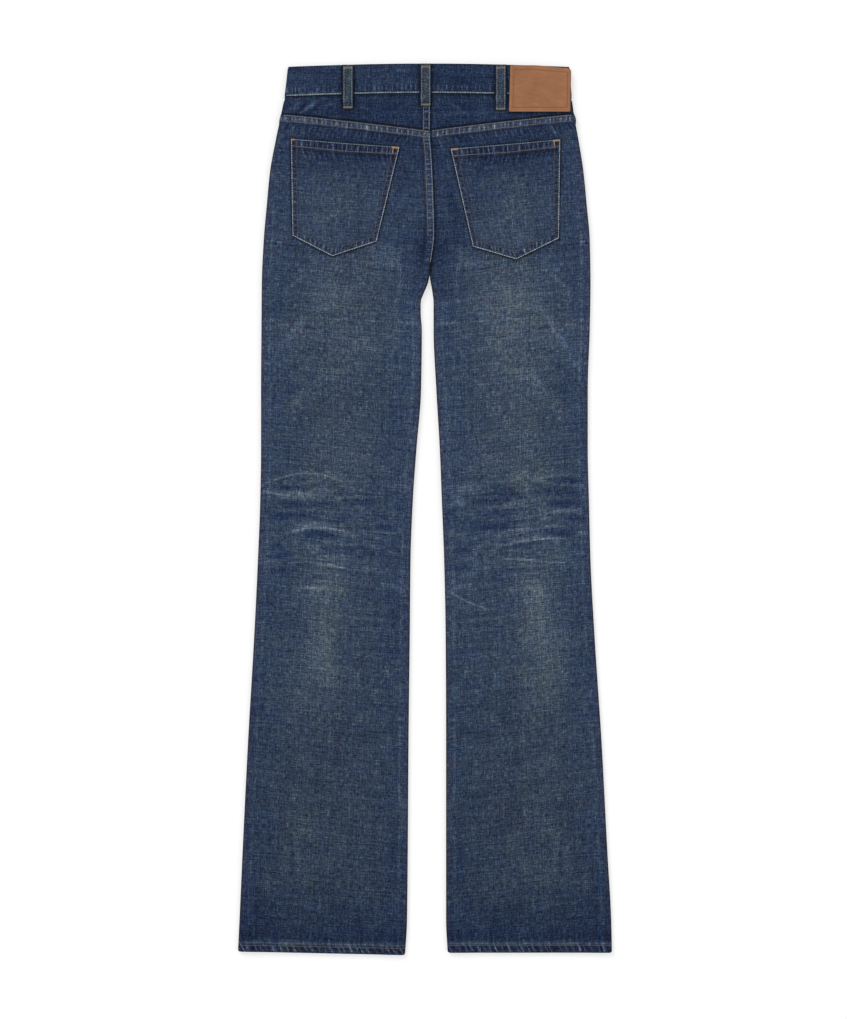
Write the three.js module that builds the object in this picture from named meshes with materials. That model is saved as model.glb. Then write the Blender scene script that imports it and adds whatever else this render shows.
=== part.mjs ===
// Flared jeans laid flat on their front, with the back facing up.
// Millimetres. +X is to the right as seen from above, +Y runs from the hems to the waist, +Z is up.
// x = 0 is the centre-back line and y = 0 is the hem line; the group is centred at the end.
import * as THREE from "three";

// Driving sizes of the garment
const SIDE_LENGTH = 1134; // hem to the top of the waistband, along the side seam
const INSEAM_LENGTH = 858; // hem to crotch
const WAISTBAND_WIDTH = 38;
const YOKE_SIDE_DEPTH = 22; // height of the yoke at the side seam
const YOKE_CENTRE_DROP = 21; // how much lower the yoke seam lies at the centre back
const BACK_RISE_CROWN = 4; // how much higher the waist is at the centre back than at the sides
const HEM_DEPTH = 12;

// Cloth, seams and layers
const DENIM = 1.1; // one layer of denim
const WAISTBAND_CLOTH = 1.7; // folded waistband
const SEAM_GAP = 0.3;
const FELL_WIDTH = 11; // raised strip beside a felled seam
const FELL_RAISE = 0.8;
const STEP = 1.2; // length over which a raised strip comes down to the plain cloth
const ALLOWANCE_WIDTH = 11.5; // pressed seam allowance beside the leg seams
const ALLOWANCE_RAISE = 0.35;
const HEM_RAISE = 0.8;
const EDGE_RIDGE = 0.9; // the pressed leg edges stand this much higher than the middle
const EDGE_RIDGE_REACH = 38;
const WAISTBAND_STEP = 0.4; // the waistband's face stands this far out of the cloth below it

// Heights of the layers above the surface
const WAISTBAND_UNDER = 2.6; // outer face of the front waistband, held up by button and loops
const WAISTBAND_TOP_SIDE = 6.6; // outer face of the back waistband at the sides
const OVERLAP_CROWN = 1.7; // the lapped front ends lift the middle of the back waistband by this much
const CROWN_FLAT = 25;
const CROWN_END = 130;
const CROWN_FADE_LOW = 1020;
const CROWN_FADE_HIGH = 1074;

const WAIST_SEAM_SIDE = SIDE_LENGTH - WAISTBAND_WIDTH;
const YOKE_SEAM_SIDE = WAIST_SEAM_SIDE - YOKE_SIDE_DEPTH;

// Outline of the flat garment: the side seams from hem to waist
const SIDES = [
  { y: 0, left: -243, right: 236 },
  { y: 42, left: -241, right: 235 },
  { y: 132, left: -237, right: 230 },
  { y: 273, left: -230, right: 222.5 },
  { y: 401, left: -222.5, right: 214 },
  { y: 503, left: -217.5, right: 208.5 },
  { y: 580, left: -214.5, right: 206.5 },
  { y: 644, left: -213.5, right: 205 },
  { y: 721, left: -213.5, right: 205 },
  { y: 797, left: -213, right: 207.5 },
  { y: 858, left: -212.5, right: 208.5 },
  { y: 913, left: -210, right: 207.5 },
  { y: 959, left: -206, right: 203.5 },
  { y: 1000, left: -202, right: 199.5 },
  { y: 1041, left: -194.5, right: 193 },
  { y: 1074, left: -187.5, right: 187 },
  { y: 1096, left: -183.5, right: 184.5 },
  { y: SIDE_LENGTH, left: -179, right: 181.5 },
];

// The inseams from hem to crotch
const INSEAMS = [
  { y: 0, left: -29, right: 25.5 },
  { y: 42, left: -26.5, right: 23.5 },
  { y: 132, left: -25.5, right: 23.5 },
  { y: 273, left: -24.5, right: 23.5 },
  { y: 401, left: -23, right: 23 },
  { y: 503, left: -22, right: 21 },
  { y: 580, left: -19, right: 18 },
  { y: 644, left: -14.5, right: 15.5 },
  { y: 721, left: -8.5, right: 11 },
  { y: 797, left: -7.5, right: 7.5 },
  { y: 820, left: -9, right: 7.5 },
  { y: 833, left: -9, right: 7.5 },
  { y: 846, left: -4.5, right: 6 },
  { y: INSEAM_LENGTH, left: 1.2, right: 2.2 },
];

// The seat seam from crotch to waist
const SEAT_SEAM = [
  { y: INSEAM_LENGTH, x: 1.7 },
  { y: 885, x: 5 },
  { y: 919, x: 9 },
  { y: 964, x: 8 },
  { y: 1015, x: 6 },
  { y: 1050, x: 3.5 },
  { y: 1100, x: 3.5 },
];

// Height of the back's outer face in the middle of a panel
const BACK_LOFT = [
  { y: 0, z: 4.2 },
  { y: 400, z: 4.2 },
  { y: 560, z: 4.4 },
  { y: 700, z: 4.6 },
  { y: 858, z: 4.9 },
  { y: 940, z: 5.2 },
  { y: 1000, z: 5.4 },
  { y: 1040, z: 5.7 },
  { y: 1074, z: WAISTBAND_TOP_SIDE - WAISTBAND_STEP },
  { y: 1096, z: WAISTBAND_TOP_SIDE - WAISTBAND_STEP },
];

// Height of the front's outer face: flat on the surface, lifted only near the waistband
const FRONT_LIFT = [
  { y: 0, z: 0 },
  { y: 980, z: 0 },
  { y: 1010, z: 0.6 },
  { y: 1050, z: 2.2 },
  { y: 1076, z: WAISTBAND_UNDER + WAISTBAND_STEP },
  { y: 1096, z: WAISTBAND_UNDER + WAISTBAND_STEP },
];

// Largest folds of the back: creases behind the knees and soft drags below the seat.
// Each runs from (fromX, fromY) to (toX, toY), bowed sideways, and rises or sinks by height.
const FOLDS = [
  { fromX: -207, fromY: 603, toX: -127, toY: 611, bow: 3, width: 8, height: 0.9 },
  { fromX: -188, fromY: 573, toX: -110, toY: 572, bow: 1, width: 8, height: -0.9 },
  { fromX: -182, fromY: 538, toX: -100, toY: 537, bow: 8, width: 8, height: 1.2 },
  { fromX: -170, fromY: 499, toX: -95, toY: 490, bow: 5, width: 8, height: 1.1 },
  { fromX: -120, fromY: 566, toX: -34, toY: 571, bow: -2, width: 8, height: -0.8 },
  { fromX: -172, fromY: 463, toX: -118, toY: 465, bow: 3, width: 8, height: 0.8 },
  { fromX: 20, fromY: 570, toX: 200, toY: 614, bow: 8, width: 9, height: 0.9 },
  { fromX: 50, fromY: 552, toX: 150, toY: 556, bow: 2, width: 8, height: -0.9 },
  { fromX: 89, fromY: 520, toX: 186, toY: 531, bow: 6, width: 8, height: 1.2 },
  { fromX: 90, fromY: 505, toX: 187, toY: 498, bow: 0, width: 8, height: 1.0 },
  { fromX: 120, fromY: 571, toX: 198, toY: 577, bow: 1, width: 8, height: -0.8 },
  { fromX: 32, fromY: 461, toX: 84, toY: 438, bow: 1, width: 8, height: 0.9 },
  { fromX: -190, fromY: 832, toX: -135, toY: 870, bow: 2, width: 11, height: 0.9 },
  { fromX: -188, fromY: 776, toX: -150, toY: 815, bow: 2, width: 11, height: 0.8 },
  { fromX: 128, fromY: 842, toX: 196, toY: 742, bow: 3, width: 11, height: 0.9 },
  { fromX: 138, fromY: 880, toX: 190, toY: 820, bow: 2, width: 11, height: 0.8 },
];

// Corners of the back pockets, seen from above
const BACK_POCKETS = {
  left: { topLeft: [-175.6, 1042.8], topRight: [-35.3, 1031.9], lowRight: [-65.3, 911.4],
    tip: [-122.1, 892.4], lowLeft: [-173.3, 918.3] },
  right: { topLeft: [28.4, 1029.8], topRight: [170.2, 1041.9], lowRight: [167.6, 915.8],
    tip: [113, 889], lowLeft: [58, 905.6] },
};
const POCKET_HEM = 12;
const POCKET_HEM_RAISE = 0.9;
const POCKET_TURN_IN = 9.5; // allowance turned under along the pocket's sides
const POCKET_TURN_IN_RAISE = 0.25;

// Belt loops: centre x, and how far each reaches down from the top of the waistband
const LOOP_WIDTH = 13.6;
const LOOP_CLOTH = 1.5;
const LOOP_BELT_GAP = 1.5;
const LOOP_FOOT = 5;
const LOOP_SLOPE = 5;
const BACK_LOOPS = [
  { name: "belt_loop_back_left", x: -102, length: 56 },
  { name: "belt_loop_back_centre", x: -2.6, length: 54 },
  { name: "belt_loop_back_right", x: 93.4, length: 57.5 },
];
const FRONT_LOOP_CLOTH = 1.2;
const FRONT_LOOPS = [
  { name: "belt_loop_front_left", x: -104, length: 56 },
  { name: "belt_loop_front_right", x: 104, length: 56 },
];

// Leather patch on the right of the back waistband
const PATCH = { left: 104.7, right: 181.4, top: 1135.6, bottom: 1077, thickness: 1.6 };

// Front closing and front pockets
// How much lower the front waist is than the side, by distance from the centre front
const FRONT_WAIST_DIPS = [
  { x: 0, dip: 20 },
  { x: 45, dip: 18.5 },
  { x: 95, dip: 14 },
  { x: 182, dip: 0 },
];
const FLY_LAP = 18; // each waistband end passes the centre front by this much
const LAP_RAMP_END = 60;
const SCOOP_CORNER = 95; // front pocket mouth meets the waistband this far from the centre front
const SCOOP_DEPTH = 81; // front pocket mouth, down from the waist seam
const FACING_RECESS = 0.5;
const BUTTON_RADIUS = 8.5;
const BUTTON_NECK_RADIUS = 4;

// Turns of a rounded edge, from the seam to the flat, in degrees
const EDGE_TURNS = [0, 30, 60, 90];

const radians = THREE.MathUtils.degToRad;
const lerp = THREE.MathUtils.lerp;
const smoothstep = THREE.MathUtils.smoothstep;

// Value of a table's column at y, on a monotone cubic through its rows
function column(table, key, y) {
  const last = table.length - 1;
  if (y <= table[0].y) return table[0][key];
  if (y >= table[last].y) return table[last][key];
  const i = table.findIndex((row) => row.y > y) - 1;
  const slope = (k) => (table[k + 1][key] - table[k][key]) / (table[k + 1].y - table[k].y);
  const tangent = (k) => {
    if (k === 0) return slope(0);
    if (k === last) return slope(last - 1);
    const before = slope(k - 1);
    const after = slope(k);
    return before * after <= 0 ? 0 : (2 * before * after) / (before + after);
  };
  const span = table[i + 1].y - table[i].y;
  const t = (y - table[i].y) / span;
  const fromValue = table[i][key] * (1 + 2 * t) * (1 - t) ** 2;
  const toValue = table[i + 1][key] * t * t * (3 - 2 * t);
  const fromTangent = tangent(i) * span * t * (1 - t) ** 2;
  const toTangent = tangent(i + 1) * span * t * t * (t - 1);
  return fromValue + toValue + fromTangent + toTangent;
}

// Lines across the garment
const halfWaist = (x) => Math.min(1, Math.abs(x) / SIDES.at(-1).right);
const waistTop = (x) => SIDE_LENGTH + BACK_RISE_CROWN * (1 - halfWaist(x) ** 2);
const backWaistSeam = (x) => waistTop(x) - WAISTBAND_WIDTH;

function frontWaistTop(x) {
  const i = Math.max(1, FRONT_WAIST_DIPS.findIndex((row) => row.x >= Math.abs(x)));
  const [from, to] = Math.abs(x) > FRONT_WAIST_DIPS.at(-1).x
    ? FRONT_WAIST_DIPS.slice(-2) : [FRONT_WAIST_DIPS[i - 1], FRONT_WAIST_DIPS[i]];
  const share = Math.min(1, (Math.abs(x) - from.x) / (to.x - from.x));
  return SIDE_LENGTH - lerp(from.dip, to.dip, share);
}
const frontWaistSeam = (x) => frontWaistTop(x) - WAISTBAND_WIDTH;
const yokeDip = (x) => YOKE_CENTRE_DROP * Math.max(0, 1 - Math.abs(x) / -SIDES[15].left) ** 1.15;
const yokeSeam = (x) => YOKE_SEAM_SIDE - yokeDip(x);

// Surfaces
const overlapCrown = (x) => OVERLAP_CROWN * (1 - smoothstep(Math.abs(x), CROWN_FLAT, CROWN_END));
const waistbandFace = (x) => WAISTBAND_TOP_SIDE + overlapCrown(x);

function foldHeight(x, y) {
  let sum = 0;
  for (const fold of FOLDS) {
    const alongX = fold.toX - fold.fromX;
    const alongY = fold.toY - fold.fromY;
    const length = Math.hypot(alongX, alongY);
    const along = ((x - fold.fromX) * alongX + (y - fold.fromY) * alongY) / length ** 2;
    if (along <= 0 || along >= 1) continue;
    const aside = ((y - fold.fromY) * alongX - (x - fold.fromX) * alongY) / length;
    const offset = (aside - fold.bow * 4 * along * (1 - along)) / fold.width;
    sum += fold.height * Math.sin(Math.PI * along) * Math.exp(-offset * offset);
  }
  return sum;
}

// Outer face of the back, `edge` mm in from the nearest pressed edge
function backFace(x, y, edge) {
  const crown = overlapCrown(x) * smoothstep(y, CROWN_FADE_LOW, CROWN_FADE_HIGH);
  const below = 1 - smoothstep(y, YOKE_SEAM_SIDE - 60, YOKE_SEAM_SIDE);
  const ridge = EDGE_RIDGE * below * (1 - smoothstep(edge, ALLOWANCE_WIDTH, EDGE_RIDGE_REACH));
  return column(BACK_LOFT, "z", y) + crown + ridge + foldHeight(x, y);
}
const frontFace = (y) => column(FRONT_LIFT, "z", y);

// Height and radius of the rounded side edge at y, where front and back meet
function sideEdge(x, y) {
  const top = backFace(x, y, 0) - foldHeight(x, y);
  return { seam: (top + frontFace(y)) / 2, radius: (top - frontFace(y)) / 2 };
}

// A closed wall between a grid of outer points and a grid of inner points
function wall(outer, inner) {
  const rows = outer.length;
  const columns = outer[0].length;
  const positions = [outer, inner].flat(2).flatMap((p) => [p.x, p.y, p.z]);
  const at = (side, i, j) => side * rows * columns + i * columns + j;
  const index = [];
  const quad = (a, b, c, d) => index.push(a, b, c, a, c, d);
  for (let i = 0; i < rows - 1; i++) {
    for (let j = 0; j < columns - 1; j++) {
      quad(at(0, i, j), at(0, i + 1, j), at(0, i + 1, j + 1), at(0, i, j + 1));
      quad(at(1, i, j), at(1, i, j + 1), at(1, i + 1, j + 1), at(1, i + 1, j));
    }
  }
  for (let i = 0; i < rows - 1; i++) {
    quad(at(0, i, 0), at(1, i, 0), at(1, i + 1, 0), at(0, i + 1, 0));
    const j = columns - 1;
    quad(at(0, i, j), at(0, i + 1, j), at(1, i + 1, j), at(1, i, j));
  }
  for (let j = 0; j < columns - 1; j++) {
    quad(at(0, 0, j), at(0, 0, j + 1), at(1, 0, j + 1), at(1, 0, j));
    const i = rows - 1;
    quad(at(0, i, j), at(1, i, j), at(1, i, j + 1), at(0, i, j + 1));
  }
  if (signedVolume(positions, index) < 0) index.reverse();
  const geometry = new THREE.BufferGeometry();
  geometry.setAttribute("position", new THREE.Float32BufferAttribute(positions, 3));
  geometry.setIndex(index);
  geometry.computeVertexNormals();
  return geometry;
}

function signedVolume(positions, index) {
  const corner = (k) => new THREE.Vector3().fromArray(positions, 3 * index[k]);
  let sum = 0;
  for (let k = 0; k < index.length; k += 3) {
    sum += corner(k).dot(corner(k + 1).cross(corner(k + 2)));
  }
  return sum / 6;
}

// Cloth under base points that carry an outward normal, with raised strips lifted straight up
function layer(base, thickness) {
  const outer = base.map((row) => row.map((p) => new THREE.Vector3(p.at.x, p.at.y, p.at.z + p.raise)));
  const inner = base.map((row) => row.map((p) => p.at.clone().addScaledVector(p.normal, -thickness)));
  return wall(outer, inner);
}

const basePoint = (x, y, z, normalX, normalZ, raise = 0) => ({
  at: new THREE.Vector3(x, y, z),
  normal: new THREE.Vector3(normalX, 0, normalZ).normalize(),
  raise,
});

// Columns of a leg panel, from the side seam to the inner seam
const PANEL_COLUMNS = [
  ...EDGE_TURNS.map((turn) => ({ from: "side", turn })),
  { from: "side", inset: ALLOWANCE_WIDTH },
  { from: "side", inset: ALLOWANCE_WIDTH + STEP },
  ...[1, 2, 3, 4, 5].map((k) => ({ from: "across", share: k / 6 })),
  { from: "inner", inset: ALLOWANCE_WIDTH + STEP },
  { from: "inner", inset: ALLOWANCE_WIDTH },
  ...EDGE_TURNS.toReversed().map((turn) => ({ from: "inner", turn })),
];

// How far a column lies in from its seam, for an edge of this radius
function insetOf(entry, radius) {
  return entry.inset ?? radius * (1 - Math.cos(radians(entry.turn)));
}

// x of every column between the side seam and the inner seam
function columnPlaces(columns, side, inner, sideRadius, innerRadius) {
  const towards = Math.sign(inner - side);
  const band = towards * (ALLOWANCE_WIDTH + STEP);
  return columns.map((entry) => {
    if (entry.from === "side") return side + towards * insetOf(entry, sideRadius);
    if (entry.from === "inner") return inner - towards * insetOf(entry, innerRadius);
    return lerp(side + band, inner - band, entry.share);
  });
}

// The inner seam is flat along the seat and rounded along the inseam
const inseamRounding = (y) => 1 - smoothstep(y, INSEAM_LENGTH - 6, INSEAM_LENGTH + 45);

function innerEdge(side, y) {
  const half = (side === "left" ? -1 : 1) * (SEAM_GAP / 2);
  if (y >= INSEAM_LENGTH) return column(SEAT_SEAM, "x", y) + half;
  return column(INSEAMS, side, y);
}

// Heights of the back panel's rows at the side seam, from the yoke seam to the hem
const BACK_ROWS = [
  YOKE_SEAM_SIDE - SEAM_GAP / 2, YOKE_SEAM_SIDE - FELL_WIDTH, YOKE_SEAM_SIDE - FELL_WIDTH - STEP,
  1035, 1000, 965, 930, 905, 888, 874, 864, 856, 850, 843, 836, 828, 816, 796, 770, 740, 705, 670, 640,
  ...Array.from({ length: 19 }, (_, k) => 620 - 9 * k),
  435, 395, 340, 275, 205, 135, 70, HEM_DEPTH + STEP, HEM_DEPTH, 0,
];

// The hem of the left leg hangs lowest at its inner corner
const HEM_LINES = {
  left: { side: 2, inner: -2.5 },
  right: { side: 0.5, inner: 0.5 },
};

// Height of a row at x: it follows the yoke seam at the top and the hem line at the bottom
function rowHeight(side, row, x) {
  const yokeShare = smoothstep(row, 880, YOKE_SEAM_SIDE - FELL_WIDTH);
  const hemShare = 1 - smoothstep(row, HEM_DEPTH + STEP, 150);
  const outer = column(SIDES, side, row);
  const inner = innerEdge(side, Math.min(row, INSEAM_LENGTH - 1));
  const across = (x - outer) / (inner - outer);
  const hem = HEM_LINES[side];
  return row - yokeDip(x) * yokeShare + lerp(hem.side, hem.inner, across) * hemShare;
}

function backPanel(side) {
  const felled = side === "left"; // the seat seam is felled over onto the left panel
  const base = BACK_ROWS.map((row, i) => {
    const sideX = column(SIDES, side, row);
    const seatY = rowHeight(side, row, column(SEAT_SEAM, "x", row));
    const innerX = innerEdge(side, row >= INSEAM_LENGTH ? Math.max(seatY, INSEAM_LENGTH) : row);
    const { radius } = sideEdge(sideX, row);
    const places = columnPlaces(PANEL_COLUMNS, sideX, innerX, radius, radius);
    return PANEL_COLUMNS.map((entry, j) => {
      const x = places[j];
      const y = rowHeight(side, row, x);
      const rounding = entry.from === "side" ? 1 : inseamRounding(y);
      const fromSide = Math.abs(x - sideX);
      const fromInner = lerp(EDGE_RIDGE_REACH, Math.abs(x - innerX), inseamRounding(y));
      const top = backFace(x, y, Math.min(fromSide, fromInner));
      const turn = radians(entry.turn === undefined ? 90 : lerp(90, entry.turn, rounding));
      const drop = entry.turn === undefined ? 0 : radius * (1 - Math.sin(radians(entry.turn)));
      const outwards = Math.sign(entry.from === "side" ? sideX - innerX : innerX - sideX);
      return basePoint(x, y, top - drop * rounding, outwards * Math.cos(turn), Math.sin(turn),
        panelRaise(i, entry, y, felled) * Math.sin(turn));
    });
  });
  return layer(base, DENIM);
}

// Raised strips of a back panel: yoke fell, hem, seat fell and pressed allowances
function panelRaise(rowIndex, entry, y, felled) {
  const fromHem = BACK_ROWS.length - 1 - rowIndex;
  const onStrip = entry.from !== "across" && entry.inset !== ALLOWANCE_WIDTH + STEP;
  const seat = felled && entry.from === "inner" ? FELL_RAISE * (1 - inseamRounding(y)) : 0;
  const strip = onStrip ? Math.max(ALLOWANCE_RAISE * (1 - (1 - inseamRounding(y))
    * (entry.from === "inner" ? 1 : 0)), seat) : 0;
  const yoke = rowIndex < 2 ? FELL_RAISE : 0;
  const hem = fromHem < 2 ? HEM_RAISE : 0;
  return Math.max(strip, yoke, hem);
}

function yoke(side) {
  const columns = PANEL_COLUMNS.filter((entry) => entry.from !== "inner" || !(entry.turn > 0));
  const felled = side === "left";
  const base = [0, 0.5, 1].map((share) => {
    const level = lerp(WAIST_SEAM_SIDE, YOKE_SEAM_SIDE, share);
    const sideX = column(SIDES, side, level);
    const innerX = innerEdge(side, lerp(backWaistSeam(0), yokeSeam(0), share));
    const { radius } = sideEdge(sideX, level);
    const places = columnPlaces(columns, sideX, innerX, radius, radius);
    return columns.map((entry, j) => {
      const x = places[j];
      const y = lerp(backWaistSeam(x) - SEAM_GAP, yokeSeam(x) + SEAM_GAP / 2, share);
      const turn = radians(entry.from === "side" ? (entry.turn ?? 90) : 90);
      const top = backFace(x, y, EDGE_RIDGE_REACH);
      const seat = felled && entry.from === "inner" && entry.inset !== ALLOWANCE_WIDTH + STEP;
      return basePoint(x, y, top - radius * (1 - Math.sin(turn)), Math.sign(sideX) * Math.cos(turn),
        Math.sin(turn), seat ? FELL_RAISE : 0);
    });
  });
  return layer(base, DENIM);
}

// The curved mouth of a front pocket: y of its edge at a distance in from the side seam
const scoopWidth = (side) => Math.abs(column(SIDES, side, WAIST_SEAM_SIDE)) - SCOOP_CORNER;

function scoopEdge(side, inset, gap = 0) {
  const share = Math.min(1, Math.max(0, inset / (scoopWidth(side) - gap)));
  const waistX = Math.abs(column(SIDES, side, WAIST_SEAM_SIDE)) - inset;
  return frontWaistSeam(waistX) - (SCOOP_DEPTH - gap) * Math.sqrt(1 - share * share);
}

const SCOOP_ANGLES = [90, 72, 54, 36, 18, 4];
const SCOOP_END_Y = WAIST_SEAM_SIDE - SCOOP_DEPTH;
const FRONT_PLAIN_TOP = 985; // below this the front's rows run straight across
const FRONT_ROWS = [950, 915, 888, 872, 860, 850, 840, 830, 816, 796, 750, 690, 630, 570, 505, 430, 350,
  270, 190, 110, 50, 0];

// Columns of the front panel at x between the side seam and the inner seam
const FRONT_COLUMNS = [
  ...EDGE_TURNS.map((turn) => ({ from: "side", turn })),
  ...[1, 2, 3, 4, 5].map((k) => ({ from: "across", share: k / 8, angle: SCOOP_ANGLES[k] })),
  { from: "across", share: 6 / 8, top: SCOOP_CORNER },
  { from: "across", share: 7 / 8, top: FRONT_WAIST_DIPS[1].x },
  ...EDGE_TURNS.toReversed().map((turn) => ({ from: "inner", turn })),
];

function frontInnerEdge(side, y) {
  const half = (side === "left" ? -1 : 1) * (SEAM_GAP / 2);
  if (y >= INSEAM_LENGTH) return column(SEAT_SEAM, "x", INSEAM_LENGTH) + half;
  return innerEdge(side, y);
}

// Base point of a front panel's column: flat below, curving up to its seams
function frontPoint(side, entry, x, y, sideX) {
  const { radius } = sideEdge(sideX, y);
  const rounding = entry.from === "side" ? 1 : inseamRounding(y);
  const turn = radians(entry.turn === undefined ? 90 : lerp(90, entry.turn, rounding));
  const rise = entry.turn === undefined ? 0 : (radius - SEAM_GAP) * (1 - Math.sin(radians(entry.turn)));
  const sideSign = side === "left" ? -1 : 1;
  const outwards = entry.from === "side" ? sideSign : -sideSign;
  return basePoint(x, y, frontFace(y) + rise * rounding, outwards * Math.cos(turn), -Math.sin(turn));
}

function frontPanel(side) {
  const sideSign = side === "left" ? -1 : 1;
  const plainRow = (row) => {
    const sideX = column(SIDES, side, row);
    const innerX = frontInnerEdge(side, row);
    const { radius } = sideEdge(sideX, row);
    const places = columnPlaces(FRONT_COLUMNS, sideX, innerX, radius, radius);
    return places.map((x) => ({ x, y: row, sideX }));
  };
  const lowRow = plainRow(FRONT_PLAIN_TOP);
  // The top edge follows the pocket mouth from the side seam, then the waist seam to the centre
  const mouthSide = column(SIDES, side, SCOOP_END_Y);
  const { radius } = sideEdge(mouthSide, SCOOP_END_Y);
  const topRow = FRONT_COLUMNS.map((entry, j) => {
    if (entry.from === "side") {
      const inset = insetOf(entry, radius);
      return { x: mouthSide - sideSign * inset, y: scoopEdge(side, inset), sideX: mouthSide };
    }
    if (entry.angle !== undefined) {
      const inset = scoopWidth(side) * Math.cos(radians(entry.angle));
      const x = column(SIDES, side, WAIST_SEAM_SIDE) - sideSign * inset;
      return { x, y: scoopEdge(side, inset), sideX: mouthSide };
    }
    const x = entry.top === undefined ? lowRow[j].x : sideSign * entry.top;
    return { x, y: frontWaistSeam(x) - SEAM_GAP, sideX: mouthSide };
  });
  const upperRows = [0, 0.3, 0.65].map((share) => topRow.map((p, j) => ({
    x: lerp(p.x, lowRow[j].x, share),
    y: lerp(p.y, lowRow[j].y, share),
    sideX: lerp(p.sideX, lowRow[j].sideX, share),
  })));
  const rows = [...upperRows, lowRow, ...FRONT_ROWS.map(plainRow)];
  const hem = HEM_LINES[side];
  const base = rows.map((row) => FRONT_COLUMNS.map((entry, j) => {
    const p = row[j];
    const across = (p.x - p.sideX) / (row.at(-1).x - p.sideX);
    const hemShift = lerp(hem.side, hem.inner, across) * (1 - smoothstep(p.y, HEM_DEPTH, 150));
    return frontPoint(side, entry, p.x, p.y + hemShift, p.sideX);
  }));
  return layer(base, DENIM);
}

// Denim facing that shows in the front pocket's mouth
function pocketFacing(side) {
  const sideSign = side === "left" ? -1 : 1;
  const columns = [
    ...EDGE_TURNS.map((turn) => ({ turn })),
    ...SCOOP_ANGLES.slice(1).map((angle) => ({ angle })),
  ];
  const base = [0, 0.5, 1].map((share) => columns.map((entry) => {
    const guess = lerp(WAIST_SEAM_SIDE, SCOOP_END_Y, share);
    const sideX = column(SIDES, side, guess);
    const { radius, seam } = sideEdge(sideX, guess);
    const inset = entry.turn === undefined
      ? (scoopWidth(side) - SEAM_GAP) * Math.cos(radians(entry.angle))
      : insetOf(entry, radius);
    const waistSide = column(SIDES, side, WAIST_SEAM_SIDE);
    const x = (entry.turn === undefined ? waistSide : sideX) - sideSign * inset;
    const y = lerp(frontWaistSeam(x) - SEAM_GAP, scoopEdge(side, inset, SEAM_GAP), share);
    const face = frontFace(y) + FACING_RECESS;
    const turn = radians(entry.turn ?? 90);
    const rise = (seam - SEAM_GAP - face) * (1 - Math.sin(turn));
    return basePoint(x, y, face + rise, sideSign * Math.cos(turn), -Math.sin(turn));
  }));
  return layer(base, DENIM);
}

// The waistband runs from its outer front end, round the left side, across the back, round the right
// side and on to its inner front end, which lies inside the outer one.
function waistband() {
  const stations = [];
  const front = (x, level) => stations.push({ x, z: WAISTBAND_UNDER + level, normalX: 0, normalZ: -1, front: 1 });
  const back = (x) => stations.push({ x, z: waistbandFace(x), normalX: 0, normalZ: 1, front: 0 });
  const radius = (WAISTBAND_TOP_SIDE - WAISTBAND_UNDER) / 2;
  const fold = (side, degrees) => stations.push({ side, z: WAISTBAND_UNDER + radius + radius * Math.sin(radians(degrees)),
    normalX: (side === "left" ? -1 : 1) * Math.cos(radians(degrees)), normalZ: Math.sin(radians(degrees)),
    inset: radius * (1 - Math.cos(radians(degrees))), front: degrees < 0 ? 1 : 0 });
  const turns = [-90, -60, -30, 0, 30, 60, 90];
  const lapLevel = WAISTBAND_CLOTH + SEAM_GAP;
  for (const x of [FLY_LAP, 0, -45, -95, -140]) front(x, 0);
  for (const degrees of turns) fold("left", degrees);
  for (const x of [-150, -125, -100, -75, -50, -25, 0, 25, 50, 75, 100, 125, 150]) back(x);
  for (const degrees of turns.toReversed()) fold("right", degrees);
  for (const x of [140, 95, LAP_RAMP_END]) front(x, 0);
  for (const x of [45, 32]) front(x, lapLevel * (1 - smoothstep(x, FLY_LAP + 2, LAP_RAMP_END)));
  for (const x of [FLY_LAP + 2, 0, -FLY_LAP]) front(x, lapLevel);
  const base = [0, 0.5, 1].map((share) => stations.map((station) => {
    const level = lerp(WAIST_SEAM_SIDE, SIDE_LENGTH, share);
    const edgeX = station.side ? column(SIDES, station.side, level) : 0;
    const x = station.side ? edgeX - Math.sign(edgeX) * station.inset : station.x;
    const y = station.front
      ? lerp(frontWaistSeam(x), frontWaistTop(x), share)
      : lerp(backWaistSeam(x), waistTop(x), share);
    return basePoint(x, y, station.z, station.normalX, station.normalZ);
  }));
  return layer(base, WAISTBAND_CLOTH);
}

// Height at (x, y) of the upper face of a wall that lies flat, from its triangles
function heightOn(geometry, x, y) {
  const position = geometry.getAttribute("position");
  const index = geometry.getIndex();
  const corner = (k) => new THREE.Vector3().fromBufferAttribute(position, index.getX(k));
  let highest = -Infinity;
  for (let k = 0; k < index.count; k += 3) {
    const [a, b, c] = [corner(k), corner(k + 1), corner(k + 2)];
    const area = (b.x - a.x) * (c.y - a.y) - (c.x - a.x) * (b.y - a.y);
    if (Math.abs(area) < 1e-6) continue;
    const v = ((x - a.x) * (c.y - a.y) - (c.x - a.x) * (y - a.y)) / area;
    const w = ((b.x - a.x) * (y - a.y) - (x - a.x) * (b.y - a.y)) / area;
    if (v < 0 || w < 0 || v + w > 1) continue;
    highest = Math.max(highest, a.z + v * (b.z - a.z) + w * (c.z - a.z));
  }
  return highest;
}

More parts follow.
